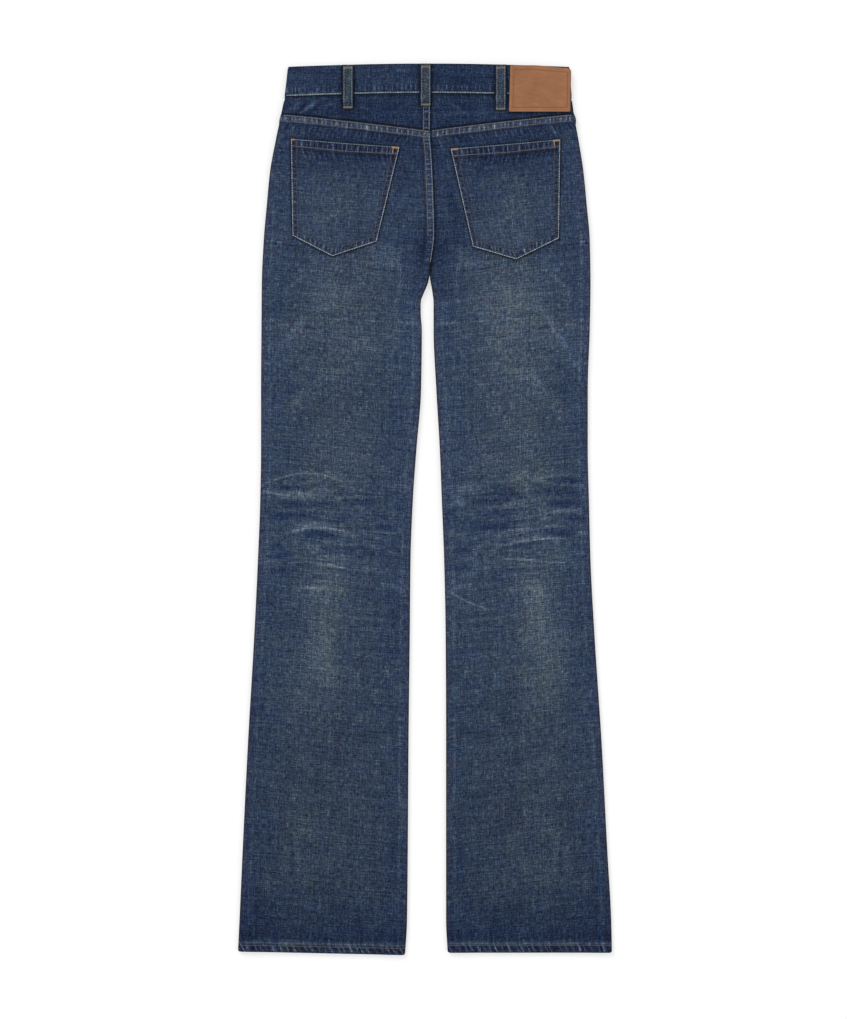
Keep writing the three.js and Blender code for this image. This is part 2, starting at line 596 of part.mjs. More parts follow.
// A patch pocket made from the panel's own heights, moved out
function backPocket(side, panel) {
  const corners = BACK_POCKETS[side];
  const tipShare = (corners.tip[0] - corners.lowLeft[0]) / (corners.lowRight[0] - corners.lowLeft[0]);
  const width = corners.topRight[0] - corners.topLeft[0];
  const height = corners.topLeft[1] - corners.lowLeft[1];
  const turnIn = POCKET_TURN_IN / width;
  const step = STEP / width;
  const columns = [0, turnIn, turnIn + step, tipShare * 0.6, tipShare, (1 + tipShare) / 2,
    1 - turnIn - step, 1 - turnIn, 1];
  const hem = POCKET_HEM / height;
  const rows = [0, hem, hem + STEP / height, 0.35, 0.6, 0.8, 1 - turnIn - step, 1 - turnIn, 1];
  const along = (from, to, share) => [lerp(from[0], to[0], share), lerp(from[1], to[1], share)];
  const bottom = (u) => (u <= tipShare
    ? along(corners.lowLeft, corners.tip, u / tipShare)
    : along(corners.tip, corners.lowRight, (u - tipShare) / (1 - tipShare)));
  const base = rows.map((v, i) => columns.map((u, j) => {
    const [x, y] = along(along(corners.topLeft, corners.topRight, u), bottom(u), v);
    const turnedIn = j < 2 || j > columns.length - 3 || i > rows.length - 3;
    const raise = i < 2 ? POCKET_HEM_RAISE : turnedIn ? POCKET_TURN_IN_RAISE : 0;
    return basePoint(x, y, heightOn(panel, x, y) + SEAM_GAP + DENIM, 0, 1, raise);
  }));
  return layer(base, DENIM);
}

// A strip bent over the waistband, pushed out along x; heel lines are its inner face from top to bottom
function loopStrip(x, heel, thickness) {
  const outline = new THREE.Shape();
  outline.moveTo(heel[0].y, heel[0].z);
  for (const p of heel.slice(1)) outline.lineTo(p.y, p.z);
  for (const p of heel.toReversed()) outline.lineTo(p.y, p.outer ?? p.z + thickness);
  const strip = new THREE.ExtrudeGeometry(outline, { depth: LOOP_WIDTH, bevelEnabled: false });
  // The outline's first axis becomes y, its second z, and the push runs along x
  strip.applyMatrix4(new THREE.Matrix4().makeBasis(
    new THREE.Vector3(0, 1, 0), new THREE.Vector3(0, 0, 1), new THREE.Vector3(1, 0, 0)));
  strip.translate(x - LOOP_WIDTH / 2, 0, 0);
  return strip;
}

function backLoop({ x, length }) {
  const top = waistTop(x) - SEAM_GAP;
  const bottom = top - length;
  const onBand = Math.max(waistbandFace(x - LOOP_WIDTH / 2), waistbandFace(x + LOOP_WIDTH / 2)) + SEAM_GAP;
  const seatFell = Math.abs(x) < LOOP_WIDTH ? FELL_RAISE : 0;
  const onYoke = onBand - WAISTBAND_STEP + seatFell;
  return loopStrip(x, [
    { y: top, z: onBand },
    { y: top - LOOP_FOOT, z: onBand },
    { y: top - LOOP_FOOT - LOOP_SLOPE, z: onBand + LOOP_BELT_GAP },
    { y: bottom + LOOP_FOOT + LOOP_SLOPE, z: onBand + LOOP_BELT_GAP },
    { y: bottom + LOOP_FOOT, z: onYoke },
    { y: bottom, z: onYoke },
  ], LOOP_CLOTH);
}

function frontLoop({ x, length }) {
  const top = frontWaistTop(x) - SEAM_GAP;
  const bottom = top - length;
  const foot = WAISTBAND_UNDER - SEAM_GAP;
  const lowFoot = frontFace(bottom) - SEAM_GAP;
  const arch = FRONT_LOOP_CLOTH;
  return loopStrip(x, [
    { y: top, z: foot, outer: 0 },
    { y: top - LOOP_FOOT, z: foot, outer: 0 },
    { y: top - LOOP_FOOT - LOOP_SLOPE, z: arch, outer: 0 },
    { y: bottom + LOOP_FOOT + LOOP_SLOPE, z: arch, outer: 0 },
    { y: bottom + LOOP_FOOT, z: lowFoot, outer: 0 },
    { y: bottom, z: lowFoot, outer: 0 },
  ], 0);
}

// The patch lies on the waistband and hangs over the yoke, and its outer edge rounds the side
function leatherPatch() {
  const radius = (WAISTBAND_TOP_SIDE - WAISTBAND_UNDER) / 2;
  const { left, right, top, bottom, thickness } = PATCH;
  const columns = [left, lerp(left, right, 0.3), lerp(left, right, 0.6), lerp(left, right, 0.85),
    right - 3, right - 1.4, right];
  const rows = [top, lerp(top, WAIST_SEAM_SIDE, 0.5), WAIST_SEAM_SIDE + 1, WAIST_SEAM_SIDE - 8, bottom];
  const base = rows.map((y) => columns.map((x) => {
    const edge = column(SIDES, "right", y) - radius;
    const past = Math.max(0, x - edge) / (radius + SEAM_GAP);
    const turn = Math.acos(Math.min(0.75, past));
    const drop = (radius + SEAM_GAP) * (1 - Math.sin(turn));
    const hang = WAISTBAND_STEP * 0.6 * smoothstep(-y, -WAIST_SEAM_SIDE, 8 - WAIST_SEAM_SIDE);
    return basePoint(x, y, waistbandFace(x) + SEAM_GAP - drop - hang, Math.cos(turn), Math.sin(turn));
  }));
  return layer(base, -thickness);
}

// Domed cap with a neck up to the waistband
function waistButton() {
  const y = frontWaistSeam(0) + WAISTBAND_WIDTH / 2;
  const neckTop = WAISTBAND_UNDER - SEAM_GAP;
  const profile = [
    [0, 0], [BUTTON_RADIUS - 2, 0], [BUTTON_RADIUS - 0.5, 0.4], [BUTTON_RADIUS, 0.9],
    [BUTTON_RADIUS - 0.4, 1.4], [BUTTON_NECK_RADIUS, 1.5], [BUTTON_NECK_RADIUS, neckTop], [0, neckTop],
  ].map(([radius, height]) => new THREE.Vector2(radius, height));
  const button = new THREE.LatheGeometry(profile, 24);
  button.rotateX(Math.PI / 2);
  button.translate(0, y, 0);
  return button;
}

// Materials
const denim = new THREE.MeshStandardMaterial({ color: 0x3a4a60, roughness: 0.92, metalness: 0 });
const darkDenim = new THREE.MeshStandardMaterial({ color: 0x2c3b54, roughness: 0.92, metalness: 0 });
const leather = new THREE.MeshStandardMaterial({ color: 0x986a4d, roughness: 0.6, metalness: 0 });
const metal = new THREE.MeshStandardMaterial({ color: 0x8a7a66, roughness: 0.4, metalness: 1 });

const garment = new THREE.Group();

function sew(name, geometry, material) {
  const mesh = new THREE.Mesh(geometry, material);
  mesh.name = name;
  garment.add(mesh);
  return mesh;
}

for (const side of ["left", "right"]) {
  const panel = sew(`back_${side}`, backPanel(side), denim);
  sew(`yoke_${side}`, yoke(side), darkDenim);
  sew(`front_${side}`, frontPanel(side), denim);
  sew(`front_pocket_facing_${side}`, pocketFacing(side), denim);
  sew(`back_pocket_${side}`, backPocket(side, panel.geometry), denim);
}
sew("waistband", waistband(), darkDenim);
for (const loop of BACK_LOOPS) sew(loop.name, backLoop(loop), darkDenim);
for (const loop of FRONT_LOOPS) sew(loop.name, frontLoop(loop), darkDenim);
sew("leather_patch", leatherPatch(), leather);
sew("waist_button", waistButton(), metal);

// The origin is at the middle of the garment, on the surface that it lies on
const box = new THREE.Box3().setFromObject(garment);
const middle = box.getCenter(new THREE.Vector3());
for (const mesh of garment.children) mesh.geometry.translate(-middle.x, -middle.y, -box.min.z);

export default garment;
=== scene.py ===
"""Flared jeans laid flat on their front, with the back facing up.

Lengths in the tables are millimetres on the garment: x from the centre back, y up from the hem
line, z up from the surface that it lies on. Meshes are made in metres in the frame of the model.
"""

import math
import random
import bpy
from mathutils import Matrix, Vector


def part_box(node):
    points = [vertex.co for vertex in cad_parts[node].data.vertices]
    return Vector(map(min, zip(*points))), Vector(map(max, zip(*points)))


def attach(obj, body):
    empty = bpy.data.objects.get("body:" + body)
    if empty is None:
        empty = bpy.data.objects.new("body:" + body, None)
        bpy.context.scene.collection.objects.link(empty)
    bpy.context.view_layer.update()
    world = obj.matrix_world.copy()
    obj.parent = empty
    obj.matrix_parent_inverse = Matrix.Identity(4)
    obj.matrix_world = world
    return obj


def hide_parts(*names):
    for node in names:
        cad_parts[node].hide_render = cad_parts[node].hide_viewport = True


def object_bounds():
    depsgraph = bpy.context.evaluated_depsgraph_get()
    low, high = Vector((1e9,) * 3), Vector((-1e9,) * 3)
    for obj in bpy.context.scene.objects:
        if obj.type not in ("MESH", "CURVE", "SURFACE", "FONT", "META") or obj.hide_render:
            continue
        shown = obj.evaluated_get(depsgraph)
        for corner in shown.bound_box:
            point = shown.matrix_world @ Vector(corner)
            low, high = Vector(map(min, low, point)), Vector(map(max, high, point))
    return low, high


bl_info = {
    "name": "Flared Jeans",
    "version": (1, 0, 0),
    "blender": (4, 5, 0),
    "location": "View3D > Sidebar > Jeans",
    "description": "Builds flared jeans laid flat, with their seams, stitching, patch and floor",
    "category": "Object",
}

from functools import reduce
from types import SimpleNamespace

import bpy
import numpy as np
from mathutils import Matrix, Vector
from mathutils.bvhtree import BVHTree

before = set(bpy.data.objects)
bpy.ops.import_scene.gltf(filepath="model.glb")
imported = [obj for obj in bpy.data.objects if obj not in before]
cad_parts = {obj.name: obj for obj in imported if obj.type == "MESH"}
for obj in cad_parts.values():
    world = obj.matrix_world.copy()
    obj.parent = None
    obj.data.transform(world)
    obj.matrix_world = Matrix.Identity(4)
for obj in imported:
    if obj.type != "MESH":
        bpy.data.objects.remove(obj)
CAD_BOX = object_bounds()

MM = 0.001
PANEL_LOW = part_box("back_left")[0]

OUTWARD = {"left": -1, "right": 1}

# Outline of the flat garment
SIDES = {
    "y": [0, 42, 132, 273, 401, 503, 580, 644, 721, 797, 858, 913, 959, 1000, 1041, 1074, 1096, 1134],
    "left": [-243, -241, -237, -230, -222.5, -217.5, -214.5, -213.5, -213.5, -213, -212.5, -210,
             -206, -202, -194.5, -187.5, -183.5, -179],
    "right": [236, 235, 230, 222.5, 214, 208.5, 206.5, 205, 205, 207.5, 208.5, 207.5, 203.5,
              199.5, 193, 187, 184.5, 181.5],
}
INSEAMS = {
    "y": [0, 42, 132, 273, 401, 503, 580, 644, 721, 797, 820, 833, 846, 858, 865],
    "left": [-29, -26.5, -25.5, -24.5, -23, -22, -19, -14.5, -8.5, -7.5, -9, -9, -4.5, 0.4, 1.9],
    "right": [25.5, 23.5, 23.5, 23.5, 23, 21, 18, 15.5, 11, 7.5, 7.5, 7.5, 6, 3.9, 2.6],
}
SEAT_SEAM = {
    "y": [865, 885, 919, 964, 1015, 1050, 1100],
    "x": [2.25, 5, 9, 8, 6, 3.5, 3.5],
}

# Driving sizes of the garment
SIDE_LENGTH = 1134
INSEAM_LENGTH = 865  # to the foot of the slit, which opens just above the crotch
WAISTBAND_WIDTH = 38
WAIST_SEAM = SIDE_LENGTH - WAISTBAND_WIDTH
YOKE_SEAM = WAIST_SEAM - 22
YOKE_DROP = 21
YOKE_HALF = 187.5
BACK_CROWN = 4
HALF_WAIST = 181.5
DENIM = 1.1
FRONT_DENIM = 0.8
WAISTBAND_CLOTH = 1.7
SEAM_GAP = 0.3
FELL_WIDTH = 11
HEM_TWIST = 0.5  # lean of the hem's ridges
FELL_RAISE = 0.8
FELL_SWELL = {"left": 0.8, "right": 1.7}  # how far the yoke's fell swells the side edge
SEAT_FELL = {"left": 1, "right": 0}  # the seat seam is felled onto the left panel
ALLOWANCE_WIDTH = 11.5
ALLOWANCE_RAISE = 0.35
HEM_DEPTH = 12
HEM_RAISE = 0.8
HEM_CORNER = 2.2
EDGE_RIDGE = 0.9
EDGE_RIDGE_REACH = 38
WAISTBAND_STEP = 0.4
WAISTBAND_UNDER = 2.6
WAISTBAND_TOP = 6.6
BAND_RADIUS = (WAISTBAND_TOP - WAISTBAND_UNDER) / 2
OVERLAP_CROWN = 1.7
FRONT_SKIN = 0.35  # the front cloth's face stands this far off the surface, for its stitches

# Heights of the outer faces of back and front, from hem to waist
BACK_LOFT = {
    "y": [0, 400, 560, 700, 858, 940, 1000, 1040, 1074, 1096],
    "z": [4.2, 4.2, 4.4, 4.6, 4.9, 5.2, 5.4, 5.7, 6.2, 6.2],
}
FRONT_LIFT = {
    "y": [0, 980, 1010, 1050, 1076, 1096],
    "z": [0, 0, 0.6, 2.2, 3.0, 3.0],
}
FRONT_WAIST_DIPS = {"x": [0, 45, 95, 182], "dip": [20, 18.5, 14, 0]}
HEM_LINES = {"left": (2, -2.5), "right": (0.5, 0.5)}
HEM_ROWS = {"left": 8.4, "right": 9.6}

# Creases and drags in the cloth: x and y of both ends, sideways bow, half width, rise, and how
# much paler (rubbed-off dye and painted highlight) or darker (kept dye and painted shade) it is
LEFT_CREASES = [
    (-213, 598, -120, 609, 9, 1.3, 0.9, 0.46),
    (-213, 592, -184, 588, -1, 1.3, 0.5, 0.46),
    (-196, 586, -131, 587, 0, 5, 0.6, 0.3),
    (-128, 583, -86, 584, 0, 1.6, 0.2, 0.2),
    (-192, 567, -140, 567, 0, 2.4, 0.5, 0.26),
    (-141, 567, -83, 568, 0, 1.6, 0.2, 0.18),
    (-166, 551, -125, 551, 0, 4, 0.3, 0.18),
    (-190, 533, -94, 533, 12, 1.3, 1.1, 0.36),
    (-176, 537, -108, 536, 9, 4.5, 0.6, 0.22),
    (-176, 499, -96, 488, 4.5, 1.3, 0.9, 0.42),
    (-100, 489.5, -64, 490, 0, 1.6, 0.3, 0.28),
    (-174, 463, -134, 465, 2.5, 1.4, 0.5, 0.32),
    (-164, 469, -138, 469, 0, 1.6, 0.3, 0.3),
    (-213, 500, -188, 501.5, 1, 2, 0.3, 0.28),
    (-206, 493, -196, 495, 0, 1.8, 0.2, 0.22),
    (-69, 539, -33, 537.5, 0, 1.6, 0.3, 0.36),
    (-72, 551, -43, 551, 0, 2.6, 0.4, 0.26),
    (-157, 521, -132, 515, 0, 6, 0.3, 0.16),
    (-54, 519, -37, 507, 0, 1.6, 0.3, 0.26),
    (-191, 595, -148, 595, 0, 3, -0.5, -0.22),
    (-134, 599, -112, 598, 0, 3, -0.4, -0.17),
    (-193, 574, -122, 574, -1, 5, -0.9, -0.32),
    (-124, 572, -112, 568, 0, 3, -0.3, -0.17),
    (-110, 577, -65, 577, 0, 5, -0.7, -0.22),
    (-205, 561, -138, 559.5, 1, 5.5, -0.8, -0.29),
    (-125, 556, -94, 555, 1, 3.4, -0.6, -0.22),
    (-72, 560, -48, 560, 0, 3.4, -0.5, -0.19),
    (-69, 546, -45, 546, 0, 3.2, -0.6, -0.3),
    (-197, 539, -181, 540, 0, 2, -0.4, -0.22),
    (-160, 535, -112, 532, 3, 5, -0.9, -0.32),
    (-199, 522, -182, 521, 0, 4, -0.4, -0.22),
    (-140, 517, -80, 519, -2, 4, -0.6, -0.23),
    (-88, 512, -51, 512, 0, 4, -0.6, -0.24),
    (-203, 508, -171, 509, 0, 4, -0.6, -0.26),
    (-163, 509, -136, 509, 0, 1.6, -0.3, -0.19),
    (-171, 497, -142, 496, 1, 2.4, -0.4, -0.22),
    (-202, 489, -168, 492, 0, 4, -0.5, -0.22),
    (-146, 480, -128, 480, 0, 1.6, -0.2, -0.17),
    (-189, 837, -145, 877, 2, 4.5, 0.8, 0.15),
    (-190, 774, -150, 816, 2, 4, 0.8, 0.2),
    (-178, 690, -150, 730, 2, 7, 0.5, 0.12),
    (-75, 905, -35, 880, 2, 12, 0.5, 0.16),
    (-178, 1064, -171, 1052, 0, 2.2, 0.4, 0.34),
    (-107, 1061, -101, 1051, 0, 2, 0.4, 0.3),
    (-80, 1059, -75, 1050, 0, 2, 0.4, 0.28),
]
RIGHT_CREASES = [
    (132, 606, 196, 613, 1, 2.6, 0.6, 0.26),
    (169, 598, 206, 598, 0, 1.6, 0.3, 0.34),
    (22, 571, 58, 577, 2, 4.5, 0.5, 0.26),
    (31, 583, 72, 597, 3, 6, 0.6, 0.28),
    (88, 568, 130, 576, 3, 3.4, 0.6, 0.3),
    (139, 565, 199, 568, 0, 4, 0.6, 0.28),
    (139, 554, 161, 558, 0, 3, 0.3, 0.22),
    (104, 541, 132, 542, 0, 4, 0.4, 0.22),
    (20, 536, 56, 536, 0, 4, 0.4, 0.2),
    (40, 504, 62, 505, 0, 2.6, 0.3, 0.24),
    (43, 482, 60, 484, 0, 3, 0.3, 0.2),
    (86, 517, 184, 529, 7, 1.2, 1, 0.46),
    (100, 522, 170, 530, 5, 4, 0.5, 0.16),
    (74, 509, 192, 500, -2.5, 1.5, 0.9, 0.33),
    (138, 543, 180, 547, 1.5, 1.3, 0.6, 0.36),
    (188, 538.5, 207, 537.5, 0, 2.6, 0.4, 0.34),
    (28, 463, 80, 438, -1, 1.4, 0.6, 0.42),
    (80, 593, 112, 594, 1, 4, -0.5, -0.24),
    (51, 576, 117, 579, 1, 4, -0.6, -0.22),
    (77, 585, 126, 587, 0, 5, -0.7, -0.24),
    (164, 607, 202, 603, 0, 4.5, -0.7, -0.29),
    (130, 590, 205, 589, 0, 5, -0.7, -0.24),
    (150, 575, 199, 574, 0, 4.5, -0.8, -0.32),
    (62, 561, 114, 562, 0, 4.5, -0.7, -0.26),
    (55, 546, 117, 546, 0, 5.5, -0.8, -0.33),
    (179, 555, 204, 556, 0, 4, -0.6, -0.24),
    (146, 540, 196, 537, 0, 4, -0.7, -0.32),
    (91, 519, 141, 523, 2, 4.5, -0.6, -0.24),
    (86, 507, 158, 506, 1, 2, -0.4, -0.22),
    (18, 562, 34, 562, 0, 3, -0.4, -0.22),
    (35, 513, 57, 514, 0, 4, -0.4, -0.22),
    (22, 491, 57, 491, 0, 4, -0.5, -0.24),
    (107, 490, 160, 491, 0, 1.6, -0.3, -0.19),
    (90, 476, 112, 475, 0, 4, -0.5, -0.22),
    (63, 478, 95, 478, 0, 3, -0.4, -0.17),
    (142, 884, 192, 826, 3, 4, 0.8, 0.17),
    (134, 838, 193, 746, 3, 4, 0.9, 0.19),
    (129, 748, 168, 688, 2, 5, 0.5, 0.1),
    (57, 738, 92, 694, 1, 3.5, 0.4, 0.1),
    (34, 900, 70, 876, -2, 12, 0.5, 0.16),
    (12, 822, 52, 838, 2, 2.4, 0.4, 0.18),
    (14, 806, 46, 803, 2, 2.2, 0.3, 0.16),
    (12, 1048, 21, 1034, 0, 2.4, 0.4, 0.3),
    (154, 1061, 164, 1048, 0, 2.4, 0.4, 0.34),
]
YOKE_CREASES = [
    (-185, 1078, -150, 1080, 1, 1.6, 0.4, 0.26),
    (-171, 1080, -159, 1092, 1, 1.2, 0.4, 0.5),
    (-162, 1076, -140, 1092, 0, 1.3, 0.5, 0.62),
    (-151, 1079, -138, 1091, 0, 1.2, 0.4, 0.4),
    (-168, 1076, -152, 1090, 0, 1.8, -0.3, -0.4),
    (-152, 1075, -136, 1088, 0, 1.8, -0.3, -0.3),
    (-133, 1079, -120, 1090, 0, 1.5, 0.3, 0.26),
    (-88, 1084, -66, 1076, 0, 1.8, 0.3, 0.24),
    (60, 1075, 110, 1078, 1, 2.4, 0.3, 0.22),
    (20, 1072, 55, 1074, 1, 2, 0.3, 0.26),
    (30, 1084, 44, 1078, 0, 2, 0.3, 0.24),
]

CREASES = {"left": LEFT_CREASES, "right": RIGHT_CREASES}
DARK_CREASES = 0.82  # share of its strength that a dark crease, kept dye with painted shade, shows on the legs

# Tone of the dye down the leg: 0 is unworn indigo, 1 is the palest fade
TONES = {
    "y": [0, 14, 40, 90, 200, 330, 450, 520, 600, 700, 800, 880, 960, 1030, 1074, 1134],
    "middle": [0.14, 0.08, 0.12, 0.22, 0.28, 0.32, 0.38, 0.42, 0.36, 0.32, 0.38, 0.37, 0.35, 0.14,
               0.18, 0.23],
    "edge": [0.12, 0.04, 0.08, 0.18, 0.26, 0.30, 0.33, 0.37, 0.36, 0.36, 0.38, 0.36, 0.35, 0.31,
             0.20, 0.23],
    "grey": [0.5, 0.2, 0.35, 0.6, 0.6, 0.45, 0.3, 0.25, 0.25, 0.2, 0.2, 0.15, 0.1, 0.05, 0, 0],
}

# Faded places, and where paleness is negative, places of painted drape shade: centre, half sizes, lean,
# how much paler and how much greener-grey
FADES_AND_DRAPE_SHADE = [
    (-119, 745, 62, 150, 0.00, 0.10, 0.35),
    (-95, 850, 50, 50, 0.00, 0.06, 0.2),
    (-104, 660, 42, 70, 0.00, 0.02, 0.1),
    (-131, 412, 27, 90, 0.05, 0.22, 0.4),
    (-150, 590, 46, 26, 0.00, 0.04, 0.25),
    (-140, 500, 40, 34, 0.00, 0.04, 0.15),
    (-118, 968, 42, 45, 0.00, 0.10, 0.3),
    (112, 745, 60, 150, 0.00, 0.16, 0.4),
    (100, 860, 45, 50, 0.00, 0.06, 0.2),
    (110, 640, 40, 60, 0.00, 0.03, 0.1),
    (143, 405, 27, 95, -0.05, 0.22, 0.4),
    (140, 600, 46, 26, 0.00, 0.04, 0.25),
    (135, 505, 42, 34, 0.00, 0.05, 0.2),
    (108, 965, 42, 50, 0.00, 0.10, 0.3),
    (-150, 200, 40, 120, 0.00, 0.04, 0.15),
    (140, 200, 40, 120, 0.00, 0.04, 0.15),
    (36, 945, 9, 45, -0.24, -0.20, 0),
    (-7, 905, 6, 24, 0.00, -0.18, 0),
    (92, 1012, 56, 20, 0.00, -0.08, 0),
    (50, 1116, 55, 16, 0.00, -0.13, 0),
    (-110, 1084, 50, 12, 0.00, -0.10, 0),
    (46, 425, 22, 70, 0.00, 0.10, 0.1),
    (100, 895, 60, 24, 0.00, -0.05, 0),
]

BACK_POCKETS = {
    "left": {"top_left": (-175.6, 1042.8), "top_right": (-35.3, 1031.9), "low_right": (-65.3, 910.2),
             "tip": (-122.1, 890.9), "low_left": (-173.3, 917.6)},
    "right": {"top_left": (28.4, 1029.8), "top_right": (170.2, 1041.9), "low_right": (168.2, 914.2),
              "tip": (113.3, 886.9), "low_left": (57.6, 903.6)},
}
POCKET_HEM = 12
POCKET_SPAN = (141.0, 124.0)  # about a back pocket's width and height, for the spacing of its rows
LOOP_WIDTH = 13.6
LOOP_CLOTH = 1.5
LOOP_BRIDGE = 1.5  # how far a back loop stands off the band between its tacks
BACK_LOOPS = {
    "belt_loop_back_left": (-102, 57),
    "belt_loop_back_centre": (-2.6, 55),
    "belt_loop_back_right": (93.4, 59),
}
FRONT_LOOPS = {"belt_loop_front_left": (-104, 56), "belt_loop_front_right": (104, 56)}
PATCH = {"left": 103.9, "right": 182.6, "top": 1135.8, "bottom": 1076.5, "thickness": 1.6}
PATCH_FALL = 3.4  # the top edge drops towards the side
PATCH_LEAN = 1.6  # the left edge leans in towards the top
PATCH_CORNER = 5  # radius of the upper right corner
PATCH_STITCHES = {"left": 5.0, "right": 4.0, "top": 5.6, "bottom": 5.4}
FLY_LAP = 18
FLY_WIDTH = 31.5
FLY_BEND = 30
FLY_FOOT = 955  # where its rows begin to bend
SCOOP_CORNER = 95
SCOOP_DEPTH = 81
SCOOP_END = WAIST_SEAM - SCOOP_DEPTH
FACING_SINK = 0.5

# Spacing of the meshes' rows and columns
BACK_COLUMN_STEP = 2.5
YOKE_COLUMN_STEP = 2.4
FRONT_PLAIN_TOP = 985
FRONT_SCOOP_COLUMNS = 26
FRONT_WAIST_COLUMNS = 18


# Numbers


def column(table, key, y):
    """A table's column at y, on a monotone cubic through its rows."""
    ys = np.asarray(table["y"], float)
    values = np.asarray(table[key], float)
    slope = np.diff(values) / np.diff(ys)
    product = slope[:-1] * slope[1:]
    total = slope[:-1] + slope[1:]
    middle = np.where(product > 0, 2 * product / np.where(product > 0, total, 1), 0)
    tangent = np.concatenate(([slope[0]], middle, [slope[-1]]))
    y = np.clip(y, ys[0], ys[-1])
    i = np.clip(np.searchsorted(ys, y, side="right") - 1, 0, len(ys) - 2)
    span = ys[i + 1] - ys[i]
    t = (y - ys[i]) / span
    return (
        values[i] * (1 + 2 * t) * (1 - t) ** 2
        + values[i + 1] * t * t * (3 - 2 * t)
        + tangent[i] * span * t * (1 - t) ** 2
        + tangent[i + 1] * span * t * t * (t - 1)
    )


def lerp(a, b, t):
    return a + (b - a) * t


def smoothstep(value, low, high):
    t = np.clip((value - low) / (high - low), 0, 1)
    return t * t * (3 - 2 * t)


def fading(value, low, high):
    """One up to low, falling smoothly to zero at high."""
    return 1 - smoothstep(value, low, high)


def bell(distance, width):
    """One at no distance, falling off to both sides."""
    return np.exp(-((distance / width) ** 2))


def bump_between(value, low, high):
    """One in the middle of a band and zero at and outside its edges."""
    return np.sin(np.pi * np.clip((value - low) / (high - low), 0, 1))


def strongest(*masks):
    return reduce(np.maximum, masks)


LATTICE = np.random.RandomState(7).rand(256)
SHUFFLE = np.random.RandomState(11).permutation(256)


def noise(x, y, seed=0):
    """Smooth value noise from 0 to 1, one cell to a unit."""
    xi = np.floor(x).astype(int)
    yi = np.floor(y).astype(int)
    fx = smoothstep(x - xi, 0, 1)
    fy = smoothstep(y - yi, 0, 1)

    def corner(a, b):
        return LATTICE[SHUFFLE[(SHUFFLE[(a + seed * 17) % 256] + b) % 256]]

    low = lerp(corner(xi, yi), corner(xi + 1, yi), fx)
    high = lerp(corner(xi, yi + 1), corner(xi + 1, yi + 1), fx)
    return lerp(low, high, fy)


def puckers(along, pitch, seed):
    """Uneven ripples along a stitched edge, about from -1 to 1."""
    shift = 2.2 * noise(along / (pitch * 2.3), along * 0 + 0.5, seed)
    strength = 0.45 + 0.9 * noise(along / (pitch * 1.4), along * 0 + 9.5, seed + 1)
    return np.cos(2 * np.pi * (along / pitch + shift)) * strength


# The garment's lines and faces


def hem_corner(y):
    """How far the corners of a hem are rounded off, in from the edge."""
    under = np.clip(1 - y / HEM_CORNER, 0, 1)
    return HEM_CORNER * (1 - np.sqrt(1 - under**2)) * 0.8


def side_line(side, y):
    """x of a side edge, drawn in under the waistband and swelling over the yoke's felled seam."""
    under_band = 1.5 * bell(WAIST_SEAM - y, 5) * (y < WAIST_SEAM - 0.2)
    fell = FELL_SWELL[side] * bump_between(y, YOKE_SEAM - FELL_WIDTH - 3, YOKE_SEAM + 1)
    return column(SIDES, side, y) + OUTWARD[side] * (fell - under_band - hem_corner(y))


def waist_end(side):
    """x of the side edge at the foot of the waistband."""
    return float(column(SIDES, side, WAIST_SEAM))


def inseam_line(side, y):
    return column(INSEAMS, side, y) + OUTWARD[side] * hem_corner(y)


def inner_edge(side, row):
    """x of a back panel's inner edge: its inseam, and above the crotch the seat seam."""
    seat = column(SEAT_SEAM, "x", row) + OUTWARD[side] * SEAM_GAP / 2
    return np.where(row >= INSEAM_LENGTH, seat, inseam_line(side, row))


def front_inner_edge(side, row):
    crotch = column(SEAT_SEAM, "x", INSEAM_LENGTH) + OUTWARD[side] * SEAM_GAP / 2
    return np.where(row >= INSEAM_LENGTH, crotch, inseam_line(side, row))


def waist_top(x):
    return SIDE_LENGTH + BACK_CROWN * (1 - np.minimum(1, np.abs(x) / HALF_WAIST) ** 2)


def waist_seam(x):
    return waist_top(x) - WAISTBAND_WIDTH


def front_waist_top(x):
    return SIDE_LENGTH - np.interp(np.abs(x), FRONT_WAIST_DIPS["x"], FRONT_WAIST_DIPS["dip"])


def front_waist_seam(x):
    return front_waist_top(x) - WAISTBAND_WIDTH


def yoke_dip(x):
    return YOKE_DROP * np.maximum(0, 1 - np.abs(x) / YOKE_HALF) ** 1.15


def yoke_line(x):
    """y of the seam between a yoke and its back panel."""
    return YOKE_SEAM - yoke_dip(x)


def overlap_crown(x):
    """How far the front's overlap in the middle lifts the back."""
    return OVERLAP_CROWN * fading(np.abs(x), 25, 130)


def back_level(x, y):
    """Height of the back's face without its edges, and the share of the edge ridge at y."""
    crown = overlap_crown(x) * smoothstep(y, 1020, 1074)
    return column(BACK_LOFT, "z", y) + crown, fading(y, YOKE_SEAM - 60, YOKE_SEAM)


def back_face(x, y, edge):
    """Height of the back's outer face, edge millimetres in from the nearest pressed edge."""
    level, ridge_share = back_level(x, y)
    ridge = EDGE_RIDGE * ridge_share * fading(edge, ALLOWANCE_WIDTH, EDGE_RIDGE_REACH)
    uneven = 0.5 * (noise(x / 55, y / 75, 1) - 0.5) + 0.22 * (noise(x / 17, y / 13, 2) - 0.5)
    return level + ridge + uneven * smoothstep(edge, 2, 14)


def front_face(y):
    return column(FRONT_LIFT, "z", y) + FRONT_SKIN


def side_edge(y, x):
    """Height of the edge seam between back and front, and the radius of the rounded edge."""
    level, ridge_share = back_level(x, y)
    top = level + EDGE_RIDGE * ridge_share
    under = column(FRONT_LIFT, "z", y)
    return (top + under) / 2, (top - under) / 2


def on_legs(y):
    """One down the legs, where the inner edge is rounded, and zero where the seat seam is flat."""
    return fading(y, INSEAM_LENGTH - 6, INSEAM_LENGTH + 45)


